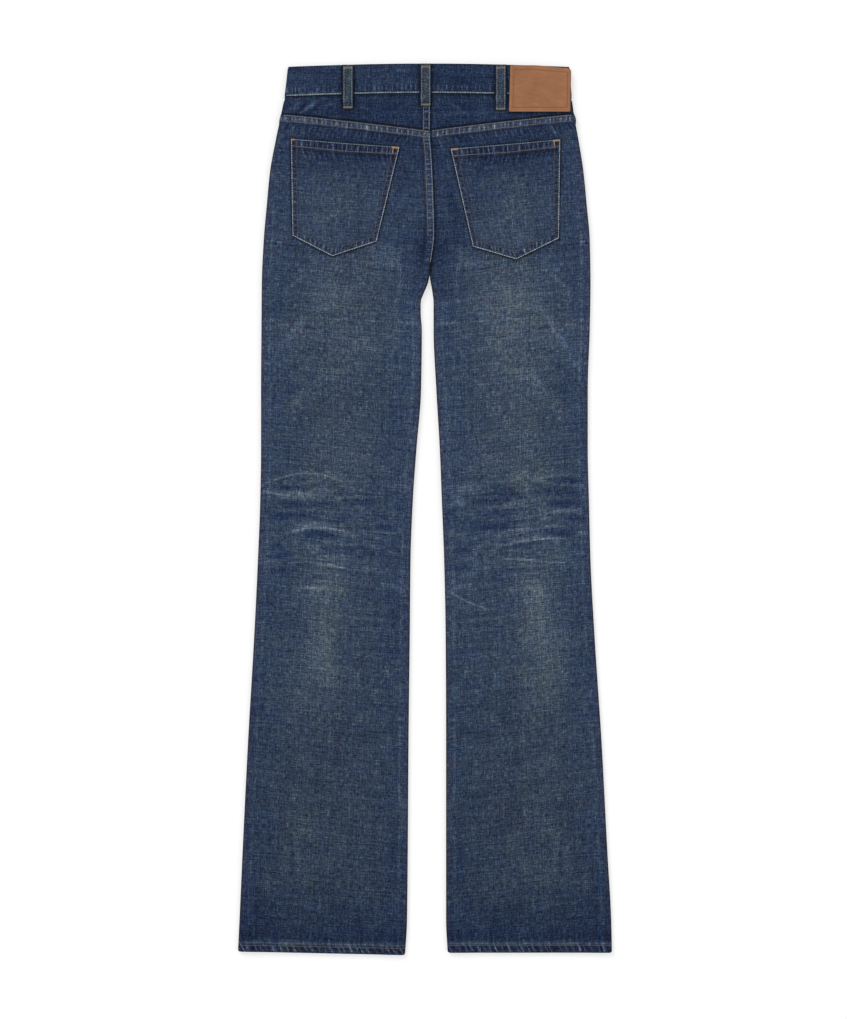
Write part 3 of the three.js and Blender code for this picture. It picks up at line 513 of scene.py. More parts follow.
def strokes(x, y, table):
    """Rise, and rub with painted highlight and shade, of a table of creases at each point."""
    rise = np.zeros_like(x)
    rub = np.zeros_like(x)
    for from_x, from_y, to_x, to_y, bow, width, raised, rubbed in table:
        along_x = to_x - from_x
        along_y = to_y - from_y
        length = math.hypot(along_x, along_y)
        dx = x - from_x
        dy = y - from_y
        along = np.clip((dx * along_x + dy * along_y) / length**2, 0, 1)
        aside = (dy * along_x - dx * along_y) / length
        wander = 2.4 * (noise(along * 4 + 3.1, along * 0 + length, 3) - 0.5)
        offset = aside - bow * 4 * along * (1 - along) - wander
        strength = np.sin(np.pi * along) ** 0.4 * bell(offset, width)
        rise += raised * strength
        rub += rubbed * strength
    return rise, rub


def dye(x, y, across):
    """Tone, with painted drape shade where the table is darker, and grey of the cloth; across is 0 at a
    pressed edge and 1 in a panel's middle.
    """
    tone = lerp(column(TONES, "edge", y), column(TONES, "middle", y), across)
    grey = column(TONES, "grey", y) * (0.4 + 0.6 * across)
    patchy = 0.75 + 0.5 * noise(x / 23, y / 31, 5)
    for middle_x, middle_y, half_x, half_y, lean, paler, greyer in FADES_AND_DRAPE_SHADE:
        dx = (x - middle_x - lean * (y - middle_y)) / half_x
        dy = (y - middle_y) / half_y
        spread = np.exp(-1.1 * (dx * dx + np.abs(dy) ** 2.6))
        tone = tone + paler * spread * patchy
        grey = grey + greyer * spread
    tone = tone + 0.10 * (noise(x / 34, y / 46, 6) - 0.5) + 0.07 * (noise(x / 11, y / 15, 8) - 0.5)
    return tone, np.clip(grey, 0, 1)


def pocket_shadow(side, x, y):
    """Painted shadow on the cloth close round a back pocket, fading outwards from its edge."""
    ring = list(BACK_POCKETS[side].values())
    outside = np.full(np.shape(x), -99.0)
    for (ax, ay), (bx, by) in zip(ring, ring[1:] + ring[:1]):
        across = ((y - ay) * (bx - ax) - (x - ax) * (by - ay)) / math.hypot(bx - ax, by - ay)
        outside = np.maximum(outside, across)
    return 0.6 * np.clip(1 - outside / 2.4, 0, 1.4)


def loop_shadow(x, y):
    """Painted shadow on the cloth close beside the back belt loops."""
    shadow = 0 * x
    for centre, length in BACK_LOOPS.values():
        beside = bell(np.abs(x - centre) - LOOP_WIDTH / 2 - 1.2, 1.7)
        foot = waist_top(centre) - length
        shadow = np.maximum(shadow, 0.8 * beside * smoothstep(y, foot - 2.5, foot + 1))
    return shadow


def seat_seam_shade(side, to_seam):
    """Painted shade along the seat seam: at its fold on the right, beside its fell on the left."""
    return 0.95 * bell(to_seam, 1.6) if side == "right" else 0.5 * bell(to_seam - 12.2, 1.4)


# Meshes

GARMENT_X = PANEL_LOW.x / MM - SIDES["left"][0]
GARMENT_Y = CAD_BOX[1].y / MM - (SIDE_LENGTH + BACK_CROWN)

# What is stored on each point of the cloth for its material
# the dark layer holds painted shade at seams, folds, edges and recesses
LAYERS = ("tone", "grey", "rub", "dark", "crinkle", "along", "pucker", "plum", "inside")


def to_frame(points):
    """Garment millimetres to metres in the model's frame."""
    moved = np.array(points, float).reshape(-1, 3)
    return (moved + (GARMENT_X, GARMENT_Y, 0)) * MM


def grid_normals(points):
    normal = np.cross(np.gradient(points, axis=0), np.gradient(points, axis=1))
    return normal / np.maximum(np.linalg.norm(normal, axis=2, keepdims=True), 1e-9)


def edge_normals(facing, tilt, up=1):
    """Normals of a flat panel, tilted outwards by a share from 0 to 1 round its pressed edges."""
    return np.stack([facing * tilt, 0 * tilt, up * np.sqrt(np.maximum(0, 1 - tilt**2))], axis=2)


def wall_faces(rows, columns):
    """Quads of a closed wall between an outer grid of points and an inner one after it."""
    index = np.arange(rows * columns).reshape(rows, columns)
    corners = (index[:-1, :-1], index[1:, :-1], index[1:, 1:], index[:-1, 1:])
    flat = np.stack([corner.ravel() for corner in corners], axis=1)
    under = flat[:, ::-1] + rows * columns
    loop = np.concatenate([index[:, 0], index[-1, 1:], index[-2::-1, -1], index[0, -2:0:-1]])
    following = np.roll(loop, -1)
    rim = np.stack([following, loop, loop + rows * columns, following + rows * columns], axis=1)
    return np.concatenate([flat, under, rim])


def grid_lengths(outer):
    """Lengths over and down the cloth from the middle of its first row, for its map."""
    rows, columns = outer.shape[:2]
    step_down = np.linalg.norm(np.diff(outer, axis=0), axis=2)
    step_over = np.linalg.norm(np.diff(outer, axis=1), axis=2)
    down = np.vstack([np.zeros(columns), np.cumsum(step_down, axis=0)])
    over = np.hstack([np.zeros((rows, 1)), np.cumsum(step_over, axis=1)])
    return np.stack([over - over[:, columns // 2:columns // 2 + 1], -down], axis=2)


def select_only(piece):
    bpy.ops.object.select_all(action="DESELECT")
    piece.select_set(True)
    bpy.context.view_layer.objects.active = piece


def select_faces(piece, wanted):
    """Selects faces by a test and leaves the piece in edit mode."""
    bpy.ops.object.mode_set(mode="EDIT")
    bpy.ops.mesh.select_mode(type="FACE")
    bpy.ops.mesh.select_all(action="DESELECT")
    bpy.ops.object.mode_set(mode="OBJECT")
    for face in piece.data.polygons:
        face.select = wanted(face)
    bpy.ops.object.mode_set(mode="EDIT")


def smooth(piece, angle=38):
    select_only(piece)
    bpy.ops.object.shade_smooth_by_angle(angle=math.radians(angle))


def add_piece(name, points, faces, values, finish, angle=38):
    """A smooth piece in the scene with a value of each kind stored on its points."""
    mesh = bpy.data.meshes.new(name)
    mesh.from_pydata(points, [], faces.tolist())
    for key, value in values.items():
        attribute = mesh.attributes.new(key, "FLOAT", "POINT")
        attribute.data.foreach_set("value", value.astype(np.float32))
    mesh.materials.append(materials()[finish])
    piece = bpy.data.objects.new(name, mesh)
    bpy.context.scene.collection.objects.link(piece)
    smooth(piece, angle)
    return piece


def cloth_mesh(name, outer, thickness, layers, finish, outward=None, facing=1, uv=None):
    """A closed cloth wall from a grid of outer points, with its dye and painted shade stored in layers.

    outward holds the grid's outward normals, or is worked out and turned so that the mean
    normal's z has the sign of facing. uv is the cloth's map in millimetres.
    """
    rows, columns = outer.shape[:2]
    normal = grid_normals(outer) if outward is None else outward
    if outward is None and normal[..., 2].mean() * facing < 0:
        normal = -normal
    points = np.concatenate([outer.reshape(-1, 3), (outer - normal * thickness).reshape(-1, 3)])
    faces = wall_faces(rows, columns)
    corner = outer[:-1, :-1]
    turned = np.cross(outer[1:, :-1] - corner, outer[:-1, 1:] - corner)
    if (turned * normal[:-1, :-1]).sum() < 0:
        faces = faces[:, ::-1]
    values = {}
    for key in LAYERS:
        outer_values = np.broadcast_to(layers.get(key, 0.0), (rows, columns)).ravel()
        inner_values = np.ones(rows * columns) if key == "inside" else outer_values
        values[key] = np.concatenate([outer_values, inner_values])
    piece = add_piece(name, to_frame(points), faces, values, finish)
    cloth_map = (grid_lengths(outer) if uv is None else uv).reshape(-1, 2)
    cloth_map = np.concatenate([cloth_map, cloth_map]) * MM
    mesh = piece.data
    loops = np.zeros(len(mesh.loops), int)
    mesh.loops.foreach_get("vertex_index", loops)
    cloth_map = cloth_map[loops].astype(np.float32)
    mesh.uv_layers.new(name="Cloth").data.foreach_set("uv", cloth_map.ravel())
    mesh.validate()
    return piece


def take_place(piece, node):
    """Rides on the root body and stands in for its CAD node, which it hides."""
    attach(piece, "root")
    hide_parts(node)


# Leg panels

# Columns beside each edge of a panel: turns round its fold, then insets on the flat
EDGE_TURNS = np.radians([0, 14, 28, 42, 56, 72, 90])
EDGE_INSETS = np.array([4.4, 6.8, 9.0, 11.1, 11.9, 13.6])


def panel_columns(side, inner, radius, across_step):
    """x, turn of the edge, and whether it belongs to the side half, for each column of a panel."""
    towards = np.sign(inner - side).reshape(-1, 1)
    side = side.reshape(-1, 1)
    inner = inner.reshape(-1, 1)
    arc = radius.reshape(-1, 1) * (1 - np.cos(EDGE_TURNS))
    insets = np.broadcast_to(EDGE_INSETS, (len(side), len(EDGE_INSETS)))
    near = np.hstack([arc, insets])
    widest = np.abs(inner - side).max() - 2 * EDGE_INSETS[-1]
    count = round(widest / across_step)
    start = side + towards * EDGE_INSETS[-1]
    end = inner - towards * EDGE_INSETS[-1]
    middle = start + (end - start) * (np.arange(1, count) / count)
    x = np.hstack([side + towards * near, middle, inner - towards * near[:, ::-1]])
    flat = np.full(x.shape[1] - 2 * len(EDGE_TURNS), np.pi / 2)
    turn = np.concatenate([EDGE_TURNS, flat, EDGE_TURNS[::-1]])
    from_side = np.arange(x.shape[1]) < x.shape[1] / 2
    return x, turn, from_side


def row_height(side, row, x):
    """y at x of a row across a leg, which dips below the yoke and slopes along the hem."""
    yoke_share = smoothstep(row, 880, YOKE_SEAM - FELL_WIDTH)
    outer = side_line(side, row)
    inner = inner_edge(side, np.minimum(row, INSEAM_LENGTH - 1))
    hem = lerp(*HEM_LINES[side], (x - outer) / (inner - outer))
    return row - yoke_dip(x) * yoke_share + hem * fading(row, HEM_DEPTH + 1.2, 150)


def back_rows():
    """Rows of a back panel from the yoke down, close together at the fell, knee and hem."""
    band = YOKE_SEAM - np.array([0.15, 0.6, 1.6, 3, 4.6, 6.2, 7.8, 9.4, 10.5, 11, 11.5, 12.4, 14])
    upper = np.arange(YOKE_SEAM - 16, 640, -2.8)
    knee = np.arange(640, 440, -1.4)
    shin = np.arange(440, 16, -3.2)
    hem = np.array([13.6, 12.5, 11.8, 11.1, 10, 8.6, 7.2, 5.8, 4.4, 3, 1.6, 0.5, 0])
    return np.concatenate([band, upper, knee, shin, hem])


def sewn_bands(side, row, legs, to_inner):
    """Masks of the felled yoke seam, the hem, the felled seat seam and the cloth beside them."""
    under_yoke = YOKE_SEAM - row
    return SimpleNamespace(
        fell=bump_between(under_yoke, 0.5, FELL_WIDTH),
        under_fell=bell(under_yoke - 16, 7) * (under_yoke > 11.6),
        hem=bump_between(row, 0.3, 11.2),
        hem_edge=bell(row - 12.2, 1.8),
        over_hem=bell(row - 19, 8) * (row > 12.4),
        seat=SEAT_FELL[side] * (1 - legs) * bump_between(to_inner, 1.5, 9.5),
    )


def back_relief(side, cloth, band):
    """Rise of a back panel's turned strips, and of the ripples between and beside its stitches."""
    x, y, row, legs = cloth.x, cloth.y, cloth.row, cloth.legs
    under_yoke = YOKE_SEAM - row
    strips = strongest(
        FELL_RAISE * fading(under_yoke, 10.6, 11.4),
        HEM_RAISE * fading(row, 11.4, 12.4),
        SEAT_FELL[side] * FELL_RAISE * (1 - legs) * fading(cloth.to_inner, 10.2, 11.4),
        ALLOWANCE_RAISE * fading(cloth.to_side, 10.8, 12.2),
        ALLOWANCE_RAISE * legs * fading(cloth.to_inner, 10.8, 12.2),
    )
    ripples = 0.26 * puckers(x, 7.6, 21) * band.fell + 0.22 * puckers(y, 7.2, 29) * band.seat
    ripples += 0.35 * puckers(x + HEM_TWIST * row, 9.6, 25) * band.hem
    ripples += 0.25 * puckers(x - 0.5 * under_yoke * OUTWARD[side], 13, 33) * band.under_fell
    ripples += 0.3 * puckers(x + 0.4 * row, 12, 37) * band.over_hem
    return strips, ripples


def pucker_way(side, cloth, band):
    """Length along the nearest sewn band, which the rubbed puckers follow."""
    x, row = cloth.x, cloth.row
    under_yoke = YOKE_SEAM - row
    slant = 0.5 * np.maximum(0, under_yoke - FELL_WIDTH) * OUTWARD[side]
    along = np.where(band.seat > band.fell, cloth.y, x - slant + 3 * noise(x / 8, under_yoke / 6, 43))
    by_hem = x + HEM_TWIST * np.minimum(row, HEM_DEPTH) + 3 * noise(x / 9, row / 7, 45)
    return np.where(row < 60, 0.8 * by_hem, along)


def back_dye_and_shade(side, cloth, band):
    """What a back panel's material reads from its points."""
    x, y, row, legs, edge = cloth.x, cloth.y, cloth.row, cloth.legs, cloth.edge
    under_yoke = YOKE_SEAM - row
    across = smoothstep(edge, 4, 62)
    outer_edge = np.minimum(cloth.to_side, lerp(99, cloth.to_inner, legs))
    pressed = bump_between(edge, 8.6, 13.4) * legs + bump_between(cloth.to_side, 8.6, 13.4) * (1 - legs)
    tone, grey = dye(x, y, across)
    tone += 0.3 * band.fell + 0.1 * band.seat - 0.1 * band.hem
    tone -= 0.06 * band.under_fell + 0.12 * band.over_hem
    tone += (0.28 + 0.3 * noise(x / 5, 0 * x, 47)) * band.hem_edge
    tone += (0.04 + 0.22 * noise(y / 9, 0 * x, 41)) * pressed * smoothstep(under_yoke, 60, 140)
    tone -= 0.2 * bell(cloth.to_inner, 22) * bump_between(y, 830, 960)
    # painted shade on the right panel beside the seat seam's fold
    if side == "right":
        tone -= 0.16 * (1 - legs) * bell(cloth.to_inner, 8)
    return {
        "tone": tone,
        "grey": grey + 0.3 * band.hem_edge + 0.3 * band.fell,
        # crease marks: rubbed-off dye with painted highlight, kept dye with painted shade
        "rub": cloth.rub * np.where(cloth.rub < 0, DARK_CREASES, 1.0) * smoothstep(edge, 0.5, 6),
        # painted shade at the yoke fell's fold and lower edge, the hem's fold, the rounded edges, the seat
        # seam, the crotch and round the pockets
        "dark": strongest(
            0.95 * bell(under_yoke, 0.6),
            0.2 * bell(under_yoke - 12.4, 1.6),
            0.5 * bell(row, 1.0),
            0.8 * fading(outer_edge, 0.1, 2.2),
            (1 - legs) * seat_seam_shade(side, cloth.to_inner),
            0.85 * bell(cloth.to_inner, 3) * bump_between(y, 852, 905),
            pocket_shadow(side, x, y),
        ),
        "crinkle": (bell(y - 545, 75) + 0.5 * bell(y - 805, 45)) * across,
        "along": pucker_way(side, cloth, band),
        "pucker": strongest(
            0.85 * band.fell**1.2,
            0.8 * band.seat,
            0.5 * band.under_fell,
            np.sqrt(band.hem),
            0.3 * band.hem_edge,
            0.25 * band.over_hem,
        ),
        "plum": strongest(
            0.4 * band.fell, 0.4 * band.hem, 0.4 * band.seat, fading(outer_edge, 1, 7)),
    }


def back_panel(side):
    """Outer points, normals, and dye and painted shade of a back leg panel."""
    row = back_rows()
    seat_y = np.maximum(row_height(side, row, column(SEAT_SEAM, "x", row)), INSEAM_LENGTH)
    side_x = side_line(side, row)
    inner_x = inner_edge(side, np.where(row >= INSEAM_LENGTH, seat_y, row))
    _, radius = side_edge(row, side_x)
    x, turn, from_side = panel_columns(side_x, inner_x, radius, BACK_COLUMN_STEP)
    row = row.reshape(-1, 1) + 0 * x
    y = row_height(side, row, x)
    legs = on_legs(y)
    rounding = np.where(from_side, 1.0, legs)
    to_side = np.abs(x - side_x.reshape(-1, 1))
    to_inner = np.abs(x - inner_x.reshape(-1, 1))
    edge = np.minimum(to_side, lerp(EDGE_RIDGE_REACH, to_inner, legs))
    rise, rub = strokes(x, y, CREASES[side])
    cloth = SimpleNamespace(
        x=x, y=y, row=row, legs=legs, to_side=to_side, to_inner=to_inner, edge=edge, rub=rub)
    band = sewn_bands(side, row, legs, to_inner)
    strips, ripples = back_relief(side, cloth, band)
    z = back_face(x, y, edge) + rise * smoothstep(edge, 3, 14)
    z -= radius.reshape(-1, 1) * (1 - np.sin(turn)) * rounding
    z += strips * np.sin(turn) + ripples
    points = np.stack([x, y, z], axis=2)
    normal = grid_normals(points)
    normal *= np.sign(normal[..., 2].mean())
    facing = np.where(from_side, OUTWARD[side], -OUTWARD[side])
    tilt = np.cos(turn) * rounding
    rounded = ((turn < np.pi / 2 - 0.01) & (rounding > 0.02))[..., None]
    normal = np.where(rounded, edge_normals(facing, tilt), normal)
    return points, normal, back_dye_and_shade(side, cloth, band)


def scoop_width(side):
    return abs(waist_end(side)) - SCOOP_CORNER


def scoop_edge(side, inset, gap=0.0):
    """y of a front pocket's mouth, inset millimetres in from the side edge."""
    share = np.clip(inset / (scoop_width(side) - gap), 0, 1)
    waist_x = abs(waist_end(side)) - inset
    return front_waist_seam(waist_x) - (SCOOP_DEPTH - gap) * np.sqrt(1 - share**2)


def front_columns(side, row):
    """x of a front panel's columns, on the rows below its pocket mouth."""
    side_x = side_line(side, row)
    inner_x = front_inner_edge(side, row)
    _, radius = side_edge(row, side_x)
    arc = radius.reshape(-1, 1) * (1 - np.cos(EDGE_TURNS))
    towards = np.sign(inner_x - side_x).reshape(-1, 1)
    start = side_x.reshape(-1, 1) + towards * arc
    end = (inner_x.reshape(-1, 1) - towards * arc)[:, ::-1]
    count = FRONT_SCOOP_COLUMNS + FRONT_WAIST_COLUMNS
    middle = lerp(start[:, -1:], end[:, :1], np.arange(1, count + 1) / (count + 1))
    return np.hstack([start, middle, end])


def front_top(side, end_x):
    """x and y of a front panel's upper edge: round the pocket mouth and along the waist."""
    mouth_side = float(side_line(side, SCOOP_END))
    _, radius = side_edge(SCOOP_END, mouth_side)
    arc = float(radius) * (1 - np.cos(EDGE_TURNS))
    insets = scoop_width(side) * np.cos(np.radians(np.linspace(88, 0, FRONT_SCOOP_COLUMNS)))
    insets = np.maximum(insets, arc[-1] + 0.5 + np.arange(len(insets)) * 0.01)
    waist_share = np.arange(1, FRONT_WAIST_COLUMNS + 1) / (FRONT_WAIST_COLUMNS + 1)
    waist_x = lerp(OUTWARD[side] * SCOOP_CORNER, end_x[0], waist_share)
    x = np.concatenate([
        mouth_side - OUTWARD[side] * arc, waist_end(side) - OUTWARD[side] * insets, waist_x, end_x])
    y = np.concatenate([
        scoop_edge(side, arc), scoop_edge(side, insets),
        front_waist_seam(waist_x) - SEAM_GAP, front_waist_seam(end_x) - SEAM_GAP])
    return x, y


def front_panel(side):
    """Outer points, normals, and dye and painted shade of a front leg panel."""
    lower = np.concatenate([
        np.arange(FRONT_PLAIN_TOP, 14, -5.5), [13.6, 12.4, 11.6, 9, 6, 3, 0.6, 0]])
    low_x = front_columns(side, lower)
    top_x, top_y = front_top(side, low_x[0, -len(EDGE_TURNS):])
    share = np.array([0, 0.012, 0.04, 0.08, 0.12, *np.linspace(0.17, 0.95, 18)]).reshape(-1, 1)
    x = np.vstack([lerp(top_x, low_x[0], share), low_x])
    y = np.vstack([lerp(top_y, FRONT_PLAIN_TOP, share), lower.reshape(-1, 1) + 0 * low_x])
    side_x = np.vstack([lerp(top_x[0], low_x[0, 0], share), low_x[:, :1]]) + 0 * x
    hem = lerp(*HEM_LINES[side], (x - side_x) / (x[:, -1:] - side_x))
    y = y + hem * fading(y, HEM_DEPTH, 150)
    flat = np.full(x.shape[1] - 2 * len(EDGE_TURNS), np.pi / 2)
    turn = np.concatenate([EDGE_TURNS, flat, EDGE_TURNS[::-1]])
    from_side = np.arange(x.shape[1]) < x.shape[1] / 2
    _, radius = side_edge(y, side_x)
    rounding = np.where(from_side, 1.0, on_legs(y))
    z = front_face(y) + (radius - SEAM_GAP - FRONT_SKIN) * (1 - np.sin(turn)) * rounding
    facing = np.where(from_side, OUTWARD[side], -OUTWARD[side])
    to_centre = np.abs(x - x[:, -1:])
    edge = np.minimum(np.abs(x - side_x), lerp(99, to_centre, on_legs(y)))
    in_hem = bump_between(y, 0.3, 11.2)
    tone, grey = dye(x * 0.96, y, smoothstep(edge, 4, 62))
    # painted shade along the rounded edges and the crotch seam
    dark = strongest(0.7 * fading(edge, 0.2, 2.6), 0.8 * bell(to_centre, 1.4) * (y > INSEAM_LENGTH))
    layers = {"tone": tone, "grey": grey, "dark": dark, "along": 0.76 * x, "pucker": in_hem,
              "plum": 0.4 * in_hem}
    normal = edge_normals(facing, np.cos(turn) * rounding, -1)
    return np.stack([x, y, z], axis=2), normal, layers


def pocket_facing(side):
    """Outer points, normals and dye of the cloth that shows in a front pocket's mouth."""
    sign = OUTWARD[side]
    share = np.linspace(0, 1, 26).reshape(-1, 1)
    level = lerp(WAIST_SEAM, SCOOP_END, share)
    side_x = side_line(side, level)
    seam, radius = side_edge(level, side_x)
    arc = radius * (1 - np.cos(EDGE_TURNS))
    inset = (scoop_width(side) - SEAM_GAP) * np.cos(np.radians(np.linspace(86, 4, 30)))
    x = np.hstack([side_x - sign * arc, waist_end(side) - sign * inset + 0 * share])
    inset = np.hstack([arc, inset + 0 * share])
    y = lerp(front_waist_seam(x) - SEAM_GAP, scoop_edge(side, inset, SEAM_GAP), share)
    turn = np.concatenate([EDGE_TURNS, np.full(30, np.pi / 2)])
    face = front_face(y) + FACING_SINK
    z = face + (seam - SEAM_GAP - face) * (1 - np.sin(turn))
    tone, grey = dye(x, y, 0.4 + 0 * x)
    normal = edge_normals(sign, np.cos(turn) + 0 * x, -1)
    return np.stack([x, y, z], axis=2), normal, {"tone": tone - 0.05, "grey": grey}


def yoke(side):
    """Outer points, normals, and dye and painted shade of a yoke piece."""
    share = np.array([0, 0.03, 0.1, *np.linspace(0.16, 0.84, 12), 0.9, 0.95, 0.98, 1.0])
    level = lerp(WAIST_SEAM, YOKE_SEAM, share)
    side_x = side_line(side, level)
    inner_x = inner_edge(side, lerp(float(waist_seam(0)), YOKE_SEAM - YOKE_DROP, share))
    _, radius = side_edge(level, side_x)
    x, turn, from_side = panel_columns(side_x, inner_x, radius, YOKE_COLUMN_STEP)
    keep = from_side | (turn > np.pi / 2 - 0.01) | (turn < 0.01)
    x, turn, from_side = x[:, keep], turn[keep], from_side[keep]
    turn = np.where(from_side, turn, np.pi / 2)
    y = lerp(waist_seam(x) - SEAM_GAP, yoke_line(x) + SEAM_GAP / 2, share.reshape(-1, 1))
    to_side = np.abs(x - side_x.reshape(-1, 1))
    to_inner = np.abs(x - inner_x.reshape(-1, 1))
    below_band = waist_seam(x) - y
    near_band = bell(below_band - 3, 4)
    seat_band = SEAT_FELL[side] * bump_between(to_inner, 1.5, 9.5)
    rise, rub = strokes(x, y, YOKE_CREASES)
    z = back_face(x, y, np.minimum(to_side, EDGE_RIDGE_REACH)) + rise * smoothstep(to_side, 2, 8)
    z -= radius.reshape(-1, 1) * (1 - np.sin(turn))
    z += SEAT_FELL[side] * FELL_RAISE * fading(to_inner, 10.2, 11.4)
    z += 0.2 * puckers(x, 8.5, 51) * near_band
    beside_patch = (x > PATCH["left"] - 1) & (x < PATCH["right"] + 1)
    tone, grey = dye(x, y, 0.6 + 0 * x)
    layers = {
        "tone": tone - 0.05,
        "grey": grey,
        # drag strokes: rubbed-off dye with painted highlight, kept dye with painted shade
        "rub": rub,
        # painted shade along the yoke seam, under the waistband and the patch, beside the loops, at the
        # seat seam and the rounded side edge
        "dark": strongest(
            bell(y - yoke_line(x), 1.9),
            0.95 * bell(below_band, 1.9),
            0.8 * bell(y - PATCH["bottom"] + 0.6, 1.8) * beside_patch,
            loop_shadow(x, y),
            seat_seam_shade(side, to_inner),
            0.8 * fading(to_side, 0.1, 2.2),
        ),
        "along": np.where(seat_band > 0, y, x),
        "pucker": strongest(seat_band, 0.3 * near_band),
        "plum": 0.8 * seat_band,
    }
    normal = edge_normals(OUTWARD[side], np.where(from_side, np.cos(turn), 0) + 0 * x)
    return np.stack([x, y, z], axis=2), normal, layers


# Pockets, waistband, loops and patch


def pocket_tip(side):
    """Share of a back pocket's width at which its foot comes to a point."""
    at = BACK_POCKETS[side]
    return (at["tip"][0] - at["low_left"][0]) / (at["low_right"][0] - at["low_left"][0])


def pocket_point(side, u, v):
    """Place on a back pocket: u from its left to its right edge, v from its top to its foot."""
    at = {key: np.array(value) for key, value in BACK_POCKETS[side].items()}
    tip = pocket_tip(side)
    u = np.asarray(u, float)[..., None]
    v = np.asarray(v, float)[..., None]
    top = lerp(at["top_left"], at["top_right"], u)
    before = lerp(at["low_left"], at["tip"], np.minimum(u / tip, 1))
    after = lerp(at["tip"], at["low_right"], np.clip((u - tip) / (1 - tip), 0, 1))
    return lerp(top, np.where(u <= tip, before, after), v)


def back_pocket(side):
    """Outer points, and dye and painted shade, of a back pocket, with its top hem and turned edges."""
    width, height = POCKET_SPAN
    edges = np.array([0, 0.5, 1.3, 2.6, 4.2, 6, 7.8, 9.2, 10, 11.2])
    hem = np.array([0, 0.5, 1.4, 3, 4.6, 6.2, 7.8, 9.4, 10.8, 11.7, 12.4, 13.4, 15.2])
    u = np.concatenate([edges, np.arange(13.5, width - 12, 2.3), width - edges[::-1]]) / width
    v = np.concatenate([hem, np.arange(17.5, height - 12, 2.4), height - edges[::-1]]) / height
    tip = pocket_tip(side)
    u = np.sort(np.append(u[np.abs(u - tip) > 0.006], [tip - 0.006, tip, tip + 0.006]))
    u, v = np.meshgrid(u, v)
    x, y = np.moveaxis(pocket_point(side, u, v), 2, 0)
    to_left, to_right = u * width, (1 - u) * width
    to_top, to_foot = v * height, (1 - v) * height
    to_edge = np.minimum(np.minimum(to_left, to_right), to_foot)
    at_foot = to_foot < np.minimum(to_left, to_right)
    in_band = bump_between(to_top, 1, 11.4)
    under_band = bell(to_top - 16, 6) * (to_top > POCKET_HEM)
    in_turn = bump_between(to_edge, 1.5, 9.6) * (to_top > POCKET_HEM)
    across = to_left + OUTWARD[side] * 0.5 * np.maximum(0, to_top - 11)
    turned = 0.3 * fading(to_edge, 9, 10.4)
    z = back_face(x, y, 40 + 0 * x) + SEAM_GAP + DENIM
    z += strongest(turned, 0.85 * fading(to_top, 11.2, 12.4))
    z -= 0.55 * fading(np.minimum(to_edge, to_top), 0, 1.6)
    z += 0.25 * puckers(across, 7.4, 61) * in_band + 0.22 * puckers(across, 12, 65) * under_band
    z += 0.16 * puckers(np.where(at_foot, x, y), 6.6, 69) * in_turn
    z += 0.35 * smoothstep(to_edge, 10, 50) * (noise(x / 40, y / 40, 71) - 0.2)
    tone, grey = dye(x, y, smoothstep(to_edge, 2, 50))
    tone -= 0.12 * in_band + in_turn * np.where(at_foot, 0.16, 0.2)
    tone -= 0.12 * bell(to_top - 14.5, 4) * (to_top > 11)
    foot_way = to_left + 9 * noise(x / 9, y / 9, 63)
    layers = {
        "tone": tone,
        "grey": grey,
        # painted shade under the hem's step, inside the turned edges and round the rounded rim
        "dark": strongest(
            0.5 * bell(to_top - 12.7, 1.0),
            0.3 * bell(to_edge - 10.4, 1.0) * (to_top > POCKET_HEM),
            0.9 * fading(to_edge, 0.5, 1.6),
            0.8 * fading(to_top, 0.2, 0.9),
        ),
        "along": np.where(to_top < 30, across, np.where(at_foot, foot_way, to_top * 1.1)),
        "pucker": strongest(in_band, 0.5 * under_band, in_turn * np.where(at_foot, 1.0, 0.6)),
        "plum": strongest(0.6 * in_band, in_turn * np.where(at_foot, 0.3, 0.7)),
    }
    return np.stack([x, y, z], axis=2), layers


def waistband_stations():
    """Columns of the band from its outer front end round the back to its inner front end.

    Each has x, z, the outward normal's x and z, its share of the front, the side that it folds
    round (0 on the flats) and how far in from that side it is.
    """
    turns = np.radians(np.linspace(-90, 90, 15))
    stations = []

    def front(x, level=0.0):
        stations.append((x, WAISTBAND_UNDER + level, 0.0, -1.0, 1.0, 0.0, 0.0))

    def fold(sign, turn):
        up, out = math.sin(turn), math.cos(turn)
        z = WAISTBAND_UNDER + BAND_RADIUS * (1 + up)
        stations.append((0.0, z, sign * out, up, 0.5 - 0.5 * up, sign, BAND_RADIUS * (1 - out)))

    for x in np.arange(FLY_LAP, -176, -2.6):
        front(x)
    for turn in turns:
        fold(-1.0, turn)
    for x in np.arange(-175, 177.6, 2.4):
        stations.append((x, WAISTBAND_TOP + float(overlap_crown(x)), 0.0, 1.0, 0.0, 0.0, 0.0))
    for turn in turns[::-1]:
        fold(1.0, turn)
    for x in np.arange(177, -FLY_LAP - 0.1, -3.0):
        front(x, (WAISTBAND_CLOTH + SEAM_GAP) * float(fading(x, FLY_LAP + 2, 60)))
    return np.array(stations).T


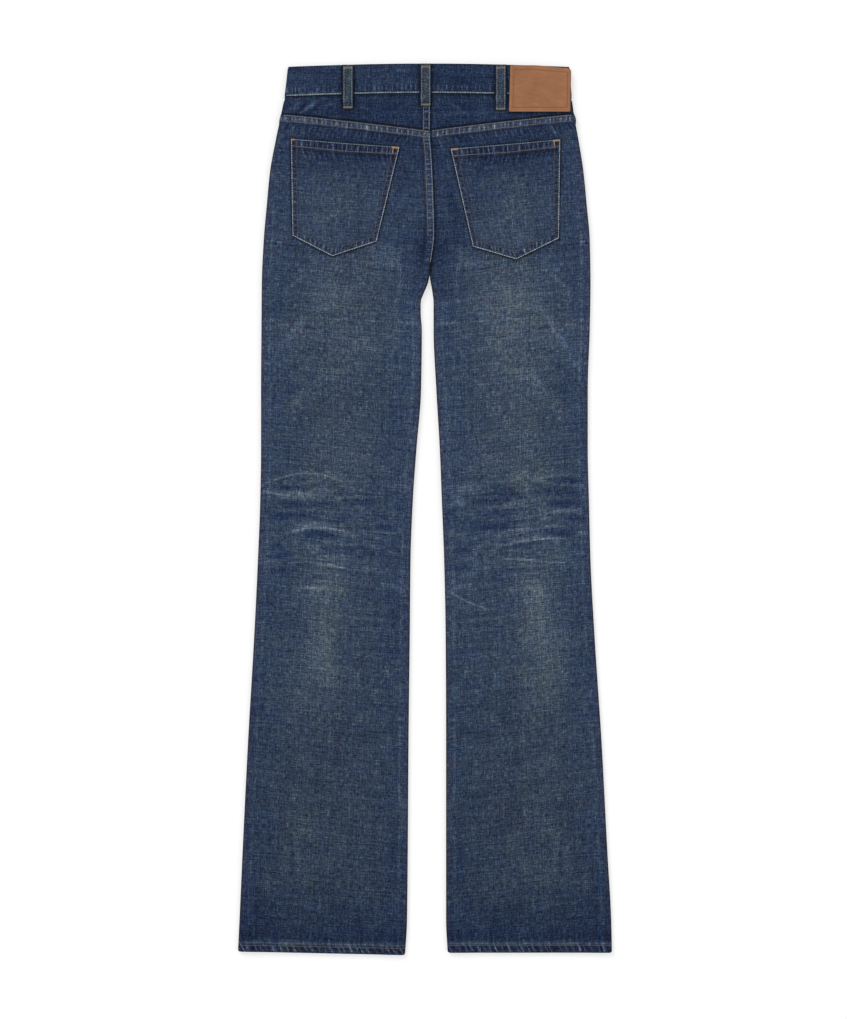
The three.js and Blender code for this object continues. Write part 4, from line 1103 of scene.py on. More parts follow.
def waistband_grid():
    """Outer points, normals, and dye and painted shade of the waistband."""
    x, z, normal_x, normal_z, is_front, sign, inset = waistband_stations()
    width = np.array([0, 0.4, 1.2, 2.4, 3.6, *np.arange(5.2, 33.5, 1.9), 34.6, 35.8, 36.8, 37.6, 38])
    share = (width / WAISTBAND_WIDTH).reshape(-1, 1)
    level = lerp(WAIST_SEAM, SIDE_LENGTH, share)
    left = column(SIDES, "left", level) + inset
    right = column(SIDES, "right", level) - inset
    x = np.where(sign < 0, left, np.where(sign > 0, right, x))
    low = lerp(waist_seam(x), front_waist_seam(x), is_front)
    high = lerp(waist_top(x), front_waist_top(x), is_front)
    y = lerp(low, high, share)
    to_low = share * WAISTBAND_WIDTH + 0 * x
    to_high = WAISTBAND_WIDTH - to_low
    back = (1 - is_front) * (sign == 0) + 0 * x
    out = 0.35 * (noise(x / 26, y / 14, 81) - 0.5) * back
    out += 0.22 * puckers(x, 7.6, 83) * bell(to_low - 6.5, 3.6) * back
    out -= 0.7 * fading(np.minimum(to_low, to_high), 0, 1.9)
    outward = np.stack([normal_x + 0 * x, 0 * x, normal_z + 0 * x], axis=2)
    points = np.stack([x, y, z + 0 * x], axis=2) + outward * out[..., None]
    tone, grey = dye(x, y, 0.5 + 0 * x)
    layers = {
        # painted shade: darker toward the rounded top and foot, dark lines at both edges and beside the
        # back loops
        "tone": tone - 0.08 * bell(to_high, 3.0) - 0.06 * bell(to_low, 2.5),
        "grey": grey,
        "dark": strongest(
            0.85 * bell(to_high, 1.1), 0.8 * bell(to_low, 0.5), loop_shadow(x, y) * back),
        "along": x * 1.1,
        "pucker": 0.75 * bell(to_low - 7.5, 3.2),
    }
    return points, outward, layers


def loop_grid(x, profile, facing):
    """Outer points, and dye and painted shade, of a belt loop over (y, z) points from its top to its foot.
    """
    profile = np.array(profile, float)
    step = np.concatenate([[0], np.cumsum(np.linalg.norm(np.diff(profile, axis=0), axis=1))])
    fine = np.arange(0, step[-1] + 0.01, 0.9)
    y = np.interp(fine, step, profile[:, 0]).reshape(-1, 1)
    z = np.interp(fine, step, profile[:, 1])
    z = np.convolve(np.pad(z, 2, mode="edge"), np.ones(5) / 5, mode="valid").reshape(-1, 1)
    across = np.array([0, 0.35, 1.0, 1.8, 3.0, 4.4, 5.6, 6.8, 8.0, 9.2, 10.6, 11.8, 12.6, 13.25, 13.6])
    to_edge = np.minimum(across, LOOP_WIDTH - across)
    ends = np.minimum(fine, fine[-1] - fine).reshape(-1, 1)
    x = x - LOOP_WIDTH / 2 + across + 0 * y
    y = y + 0 * x
    sunk = 0.5 * fading(to_edge, 0, 1.2) + 0.12 * bell(to_edge - 1.9, 0.7) + 0.45 * fading(ends, 0, 1.1)
    layers = {
        "tone": 0.18 + 0.24 * noise(x / 3, y / 5, 91) + 0.06 * bell(across - 6.8, 3.2) - 0.12 * (ends < 5),
        "grey": 0.85,
        # painted shade along the loop's rounded edges and a thin line just inside them
        "dark": strongest(0.85 * fading(to_edge, 0.2, 1.1), 0.35 * bell(to_edge - 3.2, 0.7)),
        "plum": 0.2,
    }
    return np.stack([x, y, z - facing * sunk], axis=2), layers


def patch_top(x):
    return PATCH["top"] - PATCH_FALL * smoothstep(x, 132, PATCH["right"])


def patch_grid():
    """Outer points, normals and surface of the leather patch, which bends down round the side: paler along
    its left and lower edges, with painted shade in its stitch groove and round its rim.
    """
    near = np.array([0, 0.3, 0.9, 1.8, 3.0, 4.2])
    wide, tall = PATCH["right"] - PATCH["left"], PATCH["top"] - PATCH["bottom"]
    u = np.concatenate([near, np.arange(4.9, wide - 4.5, 1.3), wide - near[::-1]])
    v = np.concatenate([near, np.arange(4.9, tall - 4.5, 1.3), tall - near[::-1]]).reshape(-1, 1)
    lean = PATCH_LEAN * (1 - v / tall)
    x = PATCH["left"] + lean + u * (1 - lean / wide)
    corner = np.minimum(u, wide - u) + np.minimum(v, tall - v)
    x = x + np.sign(wide / 2 - u) * np.maximum(0, 1.6 - corner) * 0.5
    above = np.maximum(0, PATCH_CORNER - v)
    x -= (PATCH_CORNER - np.sqrt(PATCH_CORNER**2 - above**2)) * fading(wide - u, 0, 14)
    y = lerp(patch_top(x), PATCH["bottom"], v / tall)
    over = BAND_RADIUS + SEAM_GAP
    past = (x - column(SIDES, "right", y) + BAND_RADIUS) / over
    turn = np.arccos(np.clip(past, 0, 0.8))
    hang = 0.24 * smoothstep(WAIST_SEAM - y, 0, 8)
    base = WAISTBAND_TOP + overlap_crown(x) + SEAM_GAP - over * (1 - np.sin(turn)) - hang
    to_edge = np.minimum(np.minimum(u, wide - u), np.minimum(v, tall - v))
    beyond = strongest(
        PATCH_STITCHES["left"] - u, u - wide + PATCH_STITCHES["right"],
        PATCH_STITCHES["top"] - v, v - tall + PATCH_STITCHES["bottom"])
    groove = bell(beyond, 0.8)
    sag = 0.5 * (noise(x / 30, y / 30, 95) - 0.5)
    out = PATCH["thickness"] + sag - 0.6 * fading(to_edge, 0, 1.5) - 0.34 * groove
    normal = np.stack([np.cos(turn), 0 * x, np.sin(turn)], axis=2)
    points = np.stack([x, y, base], axis=2) + normal * out[..., None]
    layers = {
        "tone": fading(np.minimum(u, tall - v), 0.6, 2.4),
        # painted shade in the stitch groove and round the rounded rim
        "dark": strongest(0.14 * groove, 0.6 * fading(to_edge, 0.1, 1.1)),
    }
    return points, normal, layers


# Shaders


def srgb(red, green, blue):
    """Linear colour from 0 to 255 screen values."""
    values = [c / 255 for c in (red, green, blue)]
    return tuple(c / 12.92 if c <= 0.04045 else ((c + 0.055) / 1.055) ** 2.4 for c in values) + (1.0,)


def opaque(colour, strength=1.0):
    """A colour made darker or paler by a factor, with full alpha."""
    return tuple(min(1.0, c * strength) for c in colour[:3]) + (1.0,)


class Wiring:
    """Adds nodes to one shader tree and joins them; values may be sockets or numbers."""

    def __init__(self, tree):
        self.tree = tree

    def add(self, kind, **settings):
        node = self.tree.nodes.new(kind)
        for key, value in settings.items():
            setattr(node, key, value)
        return node

    def feed(self, node, inputs):
        """Links or sets a node's inputs, given by name or number."""
        for key, value in inputs.items():
            if isinstance(value, bpy.types.NodeSocket):
                self.tree.links.new(value, node.inputs[key])
            else:
                node.inputs[key].default_value = value
        return node

    def math(self, operation, *values):
        node = self.add("ShaderNodeMath", operation=operation)
        return self.feed(node, dict(enumerate(values))).outputs[0]

    def plus(self, a, b):
        return self.math("ADD", a, b)

    def minus(self, a, b):
        return self.math("SUBTRACT", a, b)

    def times(self, a, b):
        return self.math("MULTIPLY", a, b)

    def times_plus(self, a, b, c):
        return self.math("MULTIPLY_ADD", a, b, c)

    def at_least(self, a, low):
        return self.math("MAXIMUM", a, low)

    def at_most(self, a, high):
        return self.math("MINIMUM", a, high)

    def ramp(self, factor, *stops):
        node = self.feed(self.add("ShaderNodeValToRGB"), {0: factor})
        elements = node.color_ramp.elements
        while len(elements) < len(stops):
            elements.new(0.5)
        for element, (position, colour) in zip(elements, stops):
            element.position = position
            element.color = colour
        return node.outputs["Color"]

    def mix(self, factor, first, second, blend="MIX"):
        node = self.add("ShaderNodeMix", data_type="RGBA", blend_type=blend)
        return self.feed(node, {"Factor": factor, 6: first, 7: second}).outputs[2]

    def stored(self, key):
        """What the piece's points store under a name."""
        return self.add("ShaderNodeAttribute", attribute_name=key).outputs["Fac"]

    def noise(self, vector, stretch, detail=2.0, roughness=0.55, shift=0.0):
        """Noise whose cells are stretch millimetres wide, on a map in metres."""
        mapping = self.feed(self.add("ShaderNodeMapping"), {
            "Scale": [1 / (s * MM) for s in stretch],
            "Location": (shift, shift * 0.7, shift * 0.3),
            "Vector": vector,
        })
        return self.feed(self.add("ShaderNodeTexNoise"), {
            "Scale": 1.0, "Detail": detail, "Roughness": roughness, "Vector": mapping.outputs[0],
        }).outputs["Fac"]

    def noise_along(self, along, cell, shift=0.0):
        """Noise along a seam, with cells of so many millimetres."""
        node = self.add("ShaderNodeTexNoise", noise_dimensions="1D")
        place = self.times_plus(along, 1 / cell, shift)
        return self.feed(node, {"Scale": 1.0, "Detail": 1.0, "W": place}).outputs["Fac"]

    def bump(self, height, strength, distance):
        node = self.add("ShaderNodeBump")
        feed = {"Strength": strength, "Distance": distance * MM, "Height": height}
        return self.feed(node, feed).outputs[0]


def new_group(name, inputs, outputs):
    """An empty shader group with its wiring, what it is given and where its results go."""
    group = bpy.data.node_groups.new(name, "ShaderNodeTree")
    for key, kind in inputs:
        group.interface.new_socket(key, in_out="INPUT", socket_type=kind)
    for key in outputs:
        group.interface.new_socket(key, in_out="OUTPUT", socket_type="NodeSocketFloat")
    given = group.nodes.new("NodeGroupInput").outputs
    return group, Wiring(group), given, group.nodes.new("NodeGroupOutput")


def new_material(name):
    material = bpy.data.materials.new(name)
    material.use_nodes = True
    return Wiring(material.node_tree), material.node_tree.nodes["Principled BSDF"]


# Streaks and specks of the weave: cell size across and along in mm, weight, shift of the noise
STREAKS = [((1.3, 6.5, 1), 1.0, 0.0), ((7.5, 1.25, 1), 1.0, 3.3), ((1.25, 34, 1), 0.55, 5.2),
           ((48, 1.2, 1), 0.6, 8.1), ((1.5, 1.5, 1), 0.9, 7.1)]
TWILL_PITCH = 1.9
PUCKER_PITCH = 6.5


def weave_group():
    """Slub streaks both ways, specks and twill ribs, as a pattern, hue masks and a height."""
    group, wires, given, result = new_group(
        "Denim weave",
        [("Cloth", "NodeSocketVector"), ("Crinkle", "NodeSocketFloat")],
        ["Pattern", "Patches", "Hue", "Height"],
    )
    cloth = given["Cloth"]
    pattern = wires.plus(-sum(weight for _, weight, _ in STREAKS) / 2, 0.0)
    for cell, weight, shift in STREAKS:
        pattern = wires.times_plus(wires.noise(cloth, cell, 1.5, 0.6, shift), weight, pattern)
    crinkle = wires.noise(cloth, (24, 2.6, 1), 2.0, 0.6, 5.9)
    folded = wires.times(wires.minus(crinkle, 0.5), given["Crinkle"])
    pattern = wires.times_plus(folded, 0.7, pattern)
    rib = wires.add("ShaderNodeTexWave", wave_type="BANDS", bands_direction="DIAGONAL")
    wires.feed(rib, {"Scale": 1 / (TWILL_PITCH * MM) / 6.28, "Distortion": 0.6, "Detail": 1.0,
                     "Detail Scale": 2.0, "Vector": cloth})
    wires.feed(result, {
        "Pattern": pattern,
        "Patches": wires.noise(cloth, (9, 11, 1), 3.0, 0.6, 9.4),
        "Hue": wires.noise(cloth, (15, 19, 1), 2.5, 0.65, 12.7),
        "Height": wires.times_plus(rib.outputs["Fac"], 0.35, pattern),
    })
    return group


def pucker_group():
    """Rubbed ridges across a sewn band, with painted shade in the furrows between them, from the length
    along it and its mask.
    """
    group, wires, given, result = new_group(
        "Seam puckers", [("Along", "NodeSocketFloat"), ("Mask", "NodeSocketFloat")], ["Ridge"])
    wander = wires.times(wires.noise_along(given["Along"], 17), 1.8)
    phase = wires.times_plus(given["Along"], 1 / PUCKER_PITCH, wander)
    wave = wires.math("SINE", wires.times(phase, 2 * math.pi))
    ridge = wires.math("POWER", wires.at_least(wave, 0.0), 3.0)
    # painted shade in the furrows
    furrow = wires.times(wires.at_most(wave, 0.0), 0.4)
    uneven = wires.times_plus(wires.noise_along(given["Along"], 8, 4.7), 2.6, -0.3)
    ridge = wires.times(wires.plus(ridge, furrow), uneven)
    wires.feed(result, {"Ridge": wires.times(ridge, given["Mask"])})
    return group


def denim_material(name, weave, puckered, look, blues, greys):
    """Indigo denim: blues and greys hold the bluer and the greyer dye, from dark to pale."""
    wires, shader = new_material(name)
    cloth = wires.add("ShaderNodeUVMap", uv_map="Cloth").outputs["UV"]
    layer = {key: wires.stored(key) for key in LAYERS}
    woven = wires.add("ShaderNodeGroup", node_tree=weave)
    woven = wires.feed(woven, {"Cloth": cloth, "Crinkle": layer["crinkle"]}).outputs
    seam = wires.add("ShaderNodeGroup", node_tree=puckered)
    wires.feed(seam, {"Along": layer["along"], "Mask": layer["pucker"]})
    ridge = seam.outputs["Ridge"]

    # how far the dye is worn off, with painted highlight and shade of the creases and puckers and painted
    # drape shade in the tone
    patchy = wires.minus(woven["Patches"], 0.5)
    broken = wires.times_plus(patchy, 1.1, 1.0)
    # crease marks: rubbed-off dye with painted highlight, kept dye with painted shade
    rubbed = wires.times(wires.times(layer["rub"], look.crease_contrast), broken)
    worn = wires.times_plus(woven["Pattern"], look.weave_contrast, layer["tone"])
    worn = wires.times_plus(patchy, 0.34, wires.plus(worn, rubbed))
    worn = wires.times_plus(ridge, look.pucker_contrast, worn)
    place = wires.times_plus(worn, 0.5, 0.25)

    # bluer and greyer dye
    steps = (0.0, 0.25, 0.5, 0.75, 1.0)
    greyed = wires.times_plus(wires.minus(woven["Hue"], 0.5), 1.6, layer["grey"])
    greyed = wires.at_most(wires.at_least(wires.times_plus(rubbed, 0.1, greyed), 0.0), 1.0)
    colour = wires.mix(
        greyed, wires.ramp(place, *zip(steps, blues)), wires.ramp(place, *zip(steps, greys)))

    # dye kept deep in the folds with painted shade in the crease valleys, and the violet cast of the
    # puckers
    kept = wires.at_most(wires.at_least(wires.times(rubbed, -1.5), 0.0), 0.75)
    deep = wires.ramp(
        place, (0.15, srgb(20, 30, 62)), (0.5, srgb(44, 60, 99)), (0.8, srgb(80, 95, 128)))
    colour = wires.mix(kept, colour, deep)
    violet = wires.at_least(wires.times(patchy, -1.4), 0.0)
    violet = wires.times_plus(ridge, -0.5, wires.times_plus(layer["plum"], 0.34, violet))
    purple = wires.ramp(
        place, (0.1, srgb(24, 20, 32)), (0.5, srgb(68, 63, 80)), (0.8, srgb(112, 112, 124)))
    colour = wires.mix(wires.at_most(wires.at_least(violet, 0.0), 0.6), colour, purple)

    # painted shade at seams, folds, rounded edges, pockets, loops and under the patch, and the wrong side
    # of the cloth
    light = wires.minus(1.0, wires.times(layer["dark"], 0.84))
    light = wires.feed(wires.add("ShaderNodeCombineColor"), {0: light, 1: light, 2: light}).outputs[0]
    colour = wires.mix(1.0, colour, light, blend="MULTIPLY")
    wrong_side = wires.ramp(place, (0.2, srgb(84, 96, 112)), (0.8, srgb(150, 158, 166)))
    wires.feed(shader, {
        "Base Color": wires.mix(layer["inside"], colour, wrong_side),
        "Normal": wires.bump(wires.times_plus(ridge, 1.2, woven["Height"]), 0.5, 0.3),
        "Roughness": wires.times_plus(woven["Pattern"], 0.06, 0.88),
        "Specular IOR Level": 0.07,
        "Sheen Weight": 0.02,
        "Sheen Roughness": 0.6,
    })


def leather_material(look):
    wires, shader = new_material("Patch leather")
    cloth = wires.add("ShaderNodeUVMap", uv_map="Cloth").outputs["UV"]
    cloudy = wires.noise(cloth, (24, 17, 1), 4, 0.6)
    fibre = wires.noise(cloth, (7, 1.2, 1), 3, 0.6, 2.0)
    pores = wires.add("ShaderNodeTexVoronoi", feature="F1")
    wires.feed(pores, {"Scale": 900.0, "Vector": cloth})
    mixed = wires.plus(wires.times(cloudy, 0.55), wires.times(fibre, 0.45))
    tan = look.patch_colour
    colour = wires.ramp(mixed, (0.36, opaque(tan, 0.84)), (0.52, opaque(tan)), (0.68, opaque(tan, 1.22)))
    colour = wires.mix(wires.times(wires.stored("tone"), 0.45), colour, srgb(186, 136, 98))
    wires.feed(shader, {
        # painted shade in the stitch groove and round the rim
        "Base Color": wires.mix(wires.stored("dark"), colour, srgb(96, 62, 44)),
        "Normal": wires.bump(wires.times_plus(pores.outputs["Distance"], 0.6, mixed), 0.4, 0.25),
        "Roughness": wires.times_plus(cloudy, 0.14, 0.50),
        "Specular IOR Level": 0.16,
    })


def thread_material(name, colour):
    wires, shader = new_material(name)
    place = wires.add("ShaderNodeTexCoord").outputs["Object"]
    strands = wires.noise(place, (0.5, 0.5, 0.5), 2)
    worn = wires.times_plus(wires.minus(strands, 0.5), 0.5, wires.stored("tint"))
    wires.feed(shader, {
        "Base Color": wires.ramp(
            worn, (0.0, opaque(colour, 0.42)), (0.55, opaque(colour)), (1.0, opaque(colour, 1.35))),
        "Normal": wires.bump(strands, 0.5, 0.1),
        "Roughness": 0.7,
        "Specular IOR Level": 0.3,
    })


def metal_material(look):
    wires, shader = new_material("Button metal")
    place = wires.add("ShaderNodeTexCoord").outputs["Object"]
    scuffs = wires.noise(place, (2.5, 2.5, 2.5), 5, 0.65)
    metal = look.button_colour
    wires.feed(shader, {
        "Base Color": wires.ramp(scuffs, (0.3, opaque(metal, 0.5)), (0.6, opaque(metal))),
        "Roughness": wires.times_plus(scuffs, 0.4, 0.22),
        "Metallic": 1.0,
    })


def materials():
    """Every finish of the garment by name, made once."""
    if "Leg denim" not in bpy.data.materials:
        look = bpy.context.scene.jeans_look
        middle = [opaque(c) for c in (look.unworn_blue, look.middle_blue, look.faded_blue)]
        blues = [srgb(7, 14, 34), *middle, srgb(150, 160, 168)]
        greys = [srgb(8, 14, 26), srgb(26, 38, 56), srgb(62, 75, 86), srgb(108, 118, 122),
                 srgb(160, 166, 164)]
        weave, puckered = weave_group(), pucker_group()
        for name in ("Leg denim", "Band denim"):
            denim_material(name, weave, puckered, look, blues, greys)
        leather_material(look)
        metal_material(look)
        for key in ("pale", "brown", "copper", "gold", "band"):
            thread_material(f"{key.title()} thread", getattr(look, f"{key}_thread"))
        thread_material("Dull thread", srgb(86, 80, 70))
        thread_material("Beige thread", srgb(142, 128, 102))
        thread_material("Patch thread", srgb(98, 62, 42))
    return {m.name: m for m in bpy.data.materials}


# Stitches


def stitch_template():
    """Points and faces of one stitch along X: a six-sided bar drawn in at both ends."""
    bpy.ops.object.select_all(action="DESELECT")
    bpy.ops.mesh.primitive_cylinder_add(vertices=6, radius=0.5, depth=0.5, end_fill_type="NGON")
    bar = bpy.context.active_object
    for end in (1, -1):
        select_faces(bar, lambda face: face.normal.z * end > 0.9)
        bpy.ops.mesh.extrude_region_move(TRANSFORM_OT_translate={"value": (0, 0, 0.25 * end)})
        bpy.ops.transform.resize(value=(0.35, 0.35, 1.0), center_override=(0, 0, 0.5 * end))
    bpy.ops.mesh.select_all(action="SELECT")
    bpy.ops.mesh.quads_convert_to_tris()
    bpy.ops.object.mode_set(mode="OBJECT")
    points = np.array([v.co for v in bar.data.vertices])
    faces = np.array([list(p.vertices) for p in bar.data.polygons])
    bpy.data.objects.remove(bar)
    return points[:, [2, 1, 0]] * (1, -1, 1), faces


TEMPLATE = []
STITCH_SHARE = 0.86  # of its pitch that a stitch covers


def surface_of(piece):
    points = [v.co.copy() for v in piece.data.vertices]
    return BVHTree.FromPolygons(points, [tuple(p.vertices) for p in piece.data.polygons])


def resample(line, pitch):
    """Middles of the stitches on a line, their headings and their even spacing."""
    line = np.array(line, float)
    step = np.concatenate([[0], np.cumsum(np.linalg.norm(np.diff(line, axis=0), axis=1))])
    count = max(2, round(step[-1] / pitch))
    middles = (np.arange(count) + 0.5) * step[-1] / count

    def at(lengths):
        return np.stack([np.interp(lengths, step, line[:, k]) for k in range(2)], axis=1)

    heading = at(middles + 0.3) - at(middles - 0.3)
    heading /= np.maximum(np.linalg.norm(heading, axis=1, keepdims=True), 1e-9)
    return at(middles), heading, step[-1] / count


def sew(name, cloth, lines, thread, size, pitch, side=1, seed=1):
    """Lays stitches along lines on cloth pieces, seen from above (side 1) or below (side -1).

    size is a stitch's length, width and height, and pitch the distance between two, in mm.
    """
    if not TEMPLATE:
        TEMPLATE.extend(stitch_template())
    shape, faces = TEMPLATE
    draw = random.Random(seed)
    trees = [surface_of(bpy.data.objects[piece]) for piece in cloth]
    ray = Vector((0, 0, -side))

    def drop(x, y):
        start = Vector(((x + GARMENT_X) * MM, (y + GARMENT_Y) * MM, 0.1 * side))
        hits = [tree.ray_cast(start, ray) for tree in trees]
        hits = [hit for hit in hits if hit[0] is not None]
        return min(hits, key=lambda hit: hit[3]) if hits else None

    points, triangles, tints = [], [], []
    for line in lines:
        at, heading, spacing = resample(line, pitch)
        length = size[0] * spacing / pitch
        for (x, y), (hx, hy) in zip(at, heading):
            hit = drop(x, y)
            first = drop(x - hx * length * 0.42, y - hy * length * 0.42)
            last = drop(x + hx * length * 0.42, y + hy * length * 0.42)
            if not (hit and first and last):
                continue
            along = last[0] - first[0]
            if abs(along.z) > 0.6 * MM:
                along.z = 0
            along.normalize()
            up = hit[1].copy()
            if up.z * side < 0:
                up.negate()
            cross = up.cross(along).normalized()
            up = along.cross(cross).normalized()
            turn = Matrix((along, cross, up)).transposed()
            jitter = cross * draw.uniform(-0.09, 0.09) * MM
            scale = (length * draw.uniform(0.94, 1.05), size[1] * draw.uniform(0.9, 1.1), size[2])
            place = np.array(hit[0] + jitter + up * size[2] * 0.2 * MM)
            triangles.append(faces + len(points) * len(shape))
            points.append((shape * scale * MM) @ np.array(turn).T + place)
            tints.append(np.full(len(shape), draw.uniform(0.3, 0.75)))
    tints = {"tint": np.concatenate(tints)}
    piece = add_piece(name, np.concatenate(points), np.concatenate(triangles), tints, thread, 60)
    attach(piece, "root")


def bar_tack(centre, direction, length, width):
    """Close zigzag lines across a bar tack, as short lines for sew."""
    direction = np.array(direction, float) / np.linalg.norm(direction)
    across = np.array([-direction[1], direction[0]])
    count = max(5, round(length / 0.55))
    lines = []
    for k in range(count):
        middle = np.array(centre) + direction * (k / (count - 1) - 0.5) * length
        lean = direction * 0.2
        lines.append([middle - across * width / 2 - lean, middle + across * width / 2 + lean])
    return lines


def line_of(x, y):
    """Points of a line from its x and y."""
    return np.stack([x, y], axis=1)


def seat_row(y, inset):
    """A row along the seat seam, so far to the left of it."""
    return line_of(column(SEAT_SEAM, "x", y) - inset, y)


def across_back(low, high, height):
    x = np.linspace(low, high, 60)
    return line_of(x, height(x))


def thread_size():
    """Pitch, usual length and width of the stitches that the user has set, in millimetres."""
    sizes = bpy.context.scene.jeans_sizes
    pitch = sizes.stitch_pitch / MM
    return pitch, pitch * STITCH_SHARE, sizes.stitch_width / MM


# What the user can change

COLOUR = {"subtype": "COLOR", "size": 3, "min": 0, "max": 1}


class JeansLook(bpy.types.PropertyGroup):
    """Colours and contrasts of the cloth, threads and trims."""

    unworn_blue: bpy.props.FloatVectorProperty(
        name="Unworn blue", description="Indigo where the dye is whole",
        default=srgb(20, 35, 64)[:3], **COLOUR)
    middle_blue: bpy.props.FloatVectorProperty(
        name="Middle blue", description="Indigo over most of the legs",
        default=srgb(50, 66, 91)[:3], **COLOUR)
    faded_blue: bpy.props.FloatVectorProperty(
        name="Faded blue", description="Where the dye has rubbed off most",
        default=srgb(92, 107, 128)[:3], **COLOUR)
    patch_colour: bpy.props.FloatVectorProperty(
        name="Patch leather", description="Colour of the leather patch",
        default=srgb(150, 102, 72)[:3], **COLOUR)
    button_colour: bpy.props.FloatVectorProperty(
        name="Button metal", description="Colour of the waist button",
        default=srgb(150, 120, 90)[:3], **COLOUR)
    pale_thread: bpy.props.FloatVectorProperty(
        name="Pale thread", description="Edge stitching of the back pockets, seat seam and belt loops",
        default=srgb(152, 158, 160)[:3], **COLOUR)
    band_thread: bpy.props.FloatVectorProperty(
        name="Band thread", description="Row along the foot of the waistband and at the pocket tops",
        default=srgb(124, 137, 139)[:3], **COLOUR)
    brown_thread: bpy.props.FloatVectorProperty(
        name="Brown thread", description="Rows of the yoke seams, the seat's inner row and the front",
        default=srgb(114, 107, 101)[:3], **COLOUR)
    copper_thread: bpy.props.FloatVectorProperty(
        name="Copper thread", description="Lower row of the hems at the pocket tops",
        default=srgb(114, 101, 89)[:3], **COLOUR)
    gold_thread: bpy.props.FloatVectorProperty(
        name="Gold thread", description="Bar tacks at the back pockets",
        default=srgb(206, 158, 110)[:3], **COLOUR)
    weave_contrast: bpy.props.FloatProperty(
        name="Weave contrast", description="How strongly the slub streaks show",
        default=1.2, min=0.0, max=4.0)
    pucker_contrast: bpy.props.FloatProperty(
        name="Pucker contrast", description="How strongly the ripples at the seams are rubbed",
        default=0.6, min=0.0, max=2.0)
    crease_contrast: bpy.props.FloatProperty(
        name="Crease contrast", description="How strongly the creases are rubbed",
        default=1.0, min=0.0, max=2.0)


class JeansSizes(bpy.types.PropertyGroup):
    """Sizes of the sewing and of the studio."""

    stitch_pitch: bpy.props.FloatProperty(
        name="Stitch pitch", description="Distance from stitch to stitch",
        default=3.2 * MM, min=2 * MM, max=6 * MM, unit="LENGTH", precision=4)
    stitch_width: bpy.props.FloatProperty(
        name="Thread width", description="Width of one stitch",
        default=0.85 * MM, min=0.3 * MM, max=1.5 * MM, unit="LENGTH", precision=5)
    floor_size: bpy.props.FloatProperty(
        name="Floor size", description="Width of the pale floor",
        default=14.0, min=2.0, unit="LENGTH")
    floor_colour: bpy.props.FloatVectorProperty(
        name="Floor colour", description="Colour of the floor", default=(0.5, 0.5, 0.5), **COLOUR)
    floor_glow: bpy.props.FloatProperty(
        name="Floor glow", description="Light that the floor gives off, as a light table does",
        default=0.5, min=0.0, max=1.0)
    sky_strength: bpy.props.FloatProperty(
        name="Surrounding light", description="Strength of the even light from all round",
        default=0.74, min=0.0, max=3.0)


# Operators


class JeansBuildBackPanels(bpy.types.Operator):
    """Back leg panels with their felled, hemmed and pressed edges"""

    bl_idname = "jeans.build_back_panels"
    bl_label = "Back Panels"

    def execute(self, context):
        for side in OUTWARD:
            points, normal, layers = back_panel(side)
            piece = cloth_mesh(f"back_cloth_{side}", points, DENIM, layers, "Leg denim", normal)
            take_place(piece, f"back_{side}")
        return {"FINISHED"}


class JeansBuildYokes(bpy.types.Operator):
    """Yoke pieces between the waistband and the back panels"""

    bl_idname = "jeans.build_yokes"
    bl_label = "Yokes"

    def execute(self, context):
        for side in OUTWARD:
            points, normal, layers = yoke(side)
            piece = cloth_mesh(f"yoke_cloth_{side}", points, DENIM, layers, "Band denim", normal)
            take_place(piece, f"yoke_{side}")
        return {"FINISHED"}


class JeansBuildFrontPanels(bpy.types.Operator):
    """Front leg panels and the facings in the front pocket mouths"""

    bl_idname = "jeans.build_front_panels"
    bl_label = "Front Panels"

    def execute(self, context):
        for side in OUTWARD:
            points, normal, layers = front_panel(side)
            piece = cloth_mesh(f"front_cloth_{side}", points, FRONT_DENIM, layers, "Leg denim", normal,
                               uv=points[..., :2])
            take_place(piece, f"front_{side}")
            points, normal, layers = pocket_facing(side)
            piece = cloth_mesh(f"facing_cloth_{side}", points, FRONT_DENIM, layers, "Leg denim", normal)
            take_place(piece, f"front_pocket_facing_{side}")
        return {"FINISHED"}


class JeansBuildBackPockets(bpy.types.Operator):
    """Patch pockets with their top hems and turned edges"""

    bl_idname = "jeans.build_back_pockets"
    bl_label = "Back Pockets"

    def execute(self, context):
        for side in OUTWARD:
            points, layers = back_pocket(side)
            piece = cloth_mesh(f"pocket_cloth_{side}", points, DENIM, layers, "Leg denim")
            take_place(piece, f"back_pocket_{side}")
        return {"FINISHED"}


class JeansBuildWaistband(bpy.types.Operator):
    """Waistband all round, lapped at the centre front"""

    bl_idname = "jeans.build_waistband"
    bl_label = "Waistband"

    def execute(self, context):
        points, normal, layers = waistband_grid()
        piece = cloth_mesh("waistband_cloth", points, WAISTBAND_CLOTH, layers, "Band denim", normal)
        take_place(piece, "waistband")
        return {"FINISHED"}


def loop_profile(top, length, on_band, between, on_yoke):
    """y and z down a belt loop: tacked on the band, bridging it, and tacked on the yoke."""
    foot = top - length
    return [(top, on_band), (top - 5, on_band), (top - 10, between),
            (foot + 10, between), (foot + 5, on_yoke), (foot, on_yoke)]


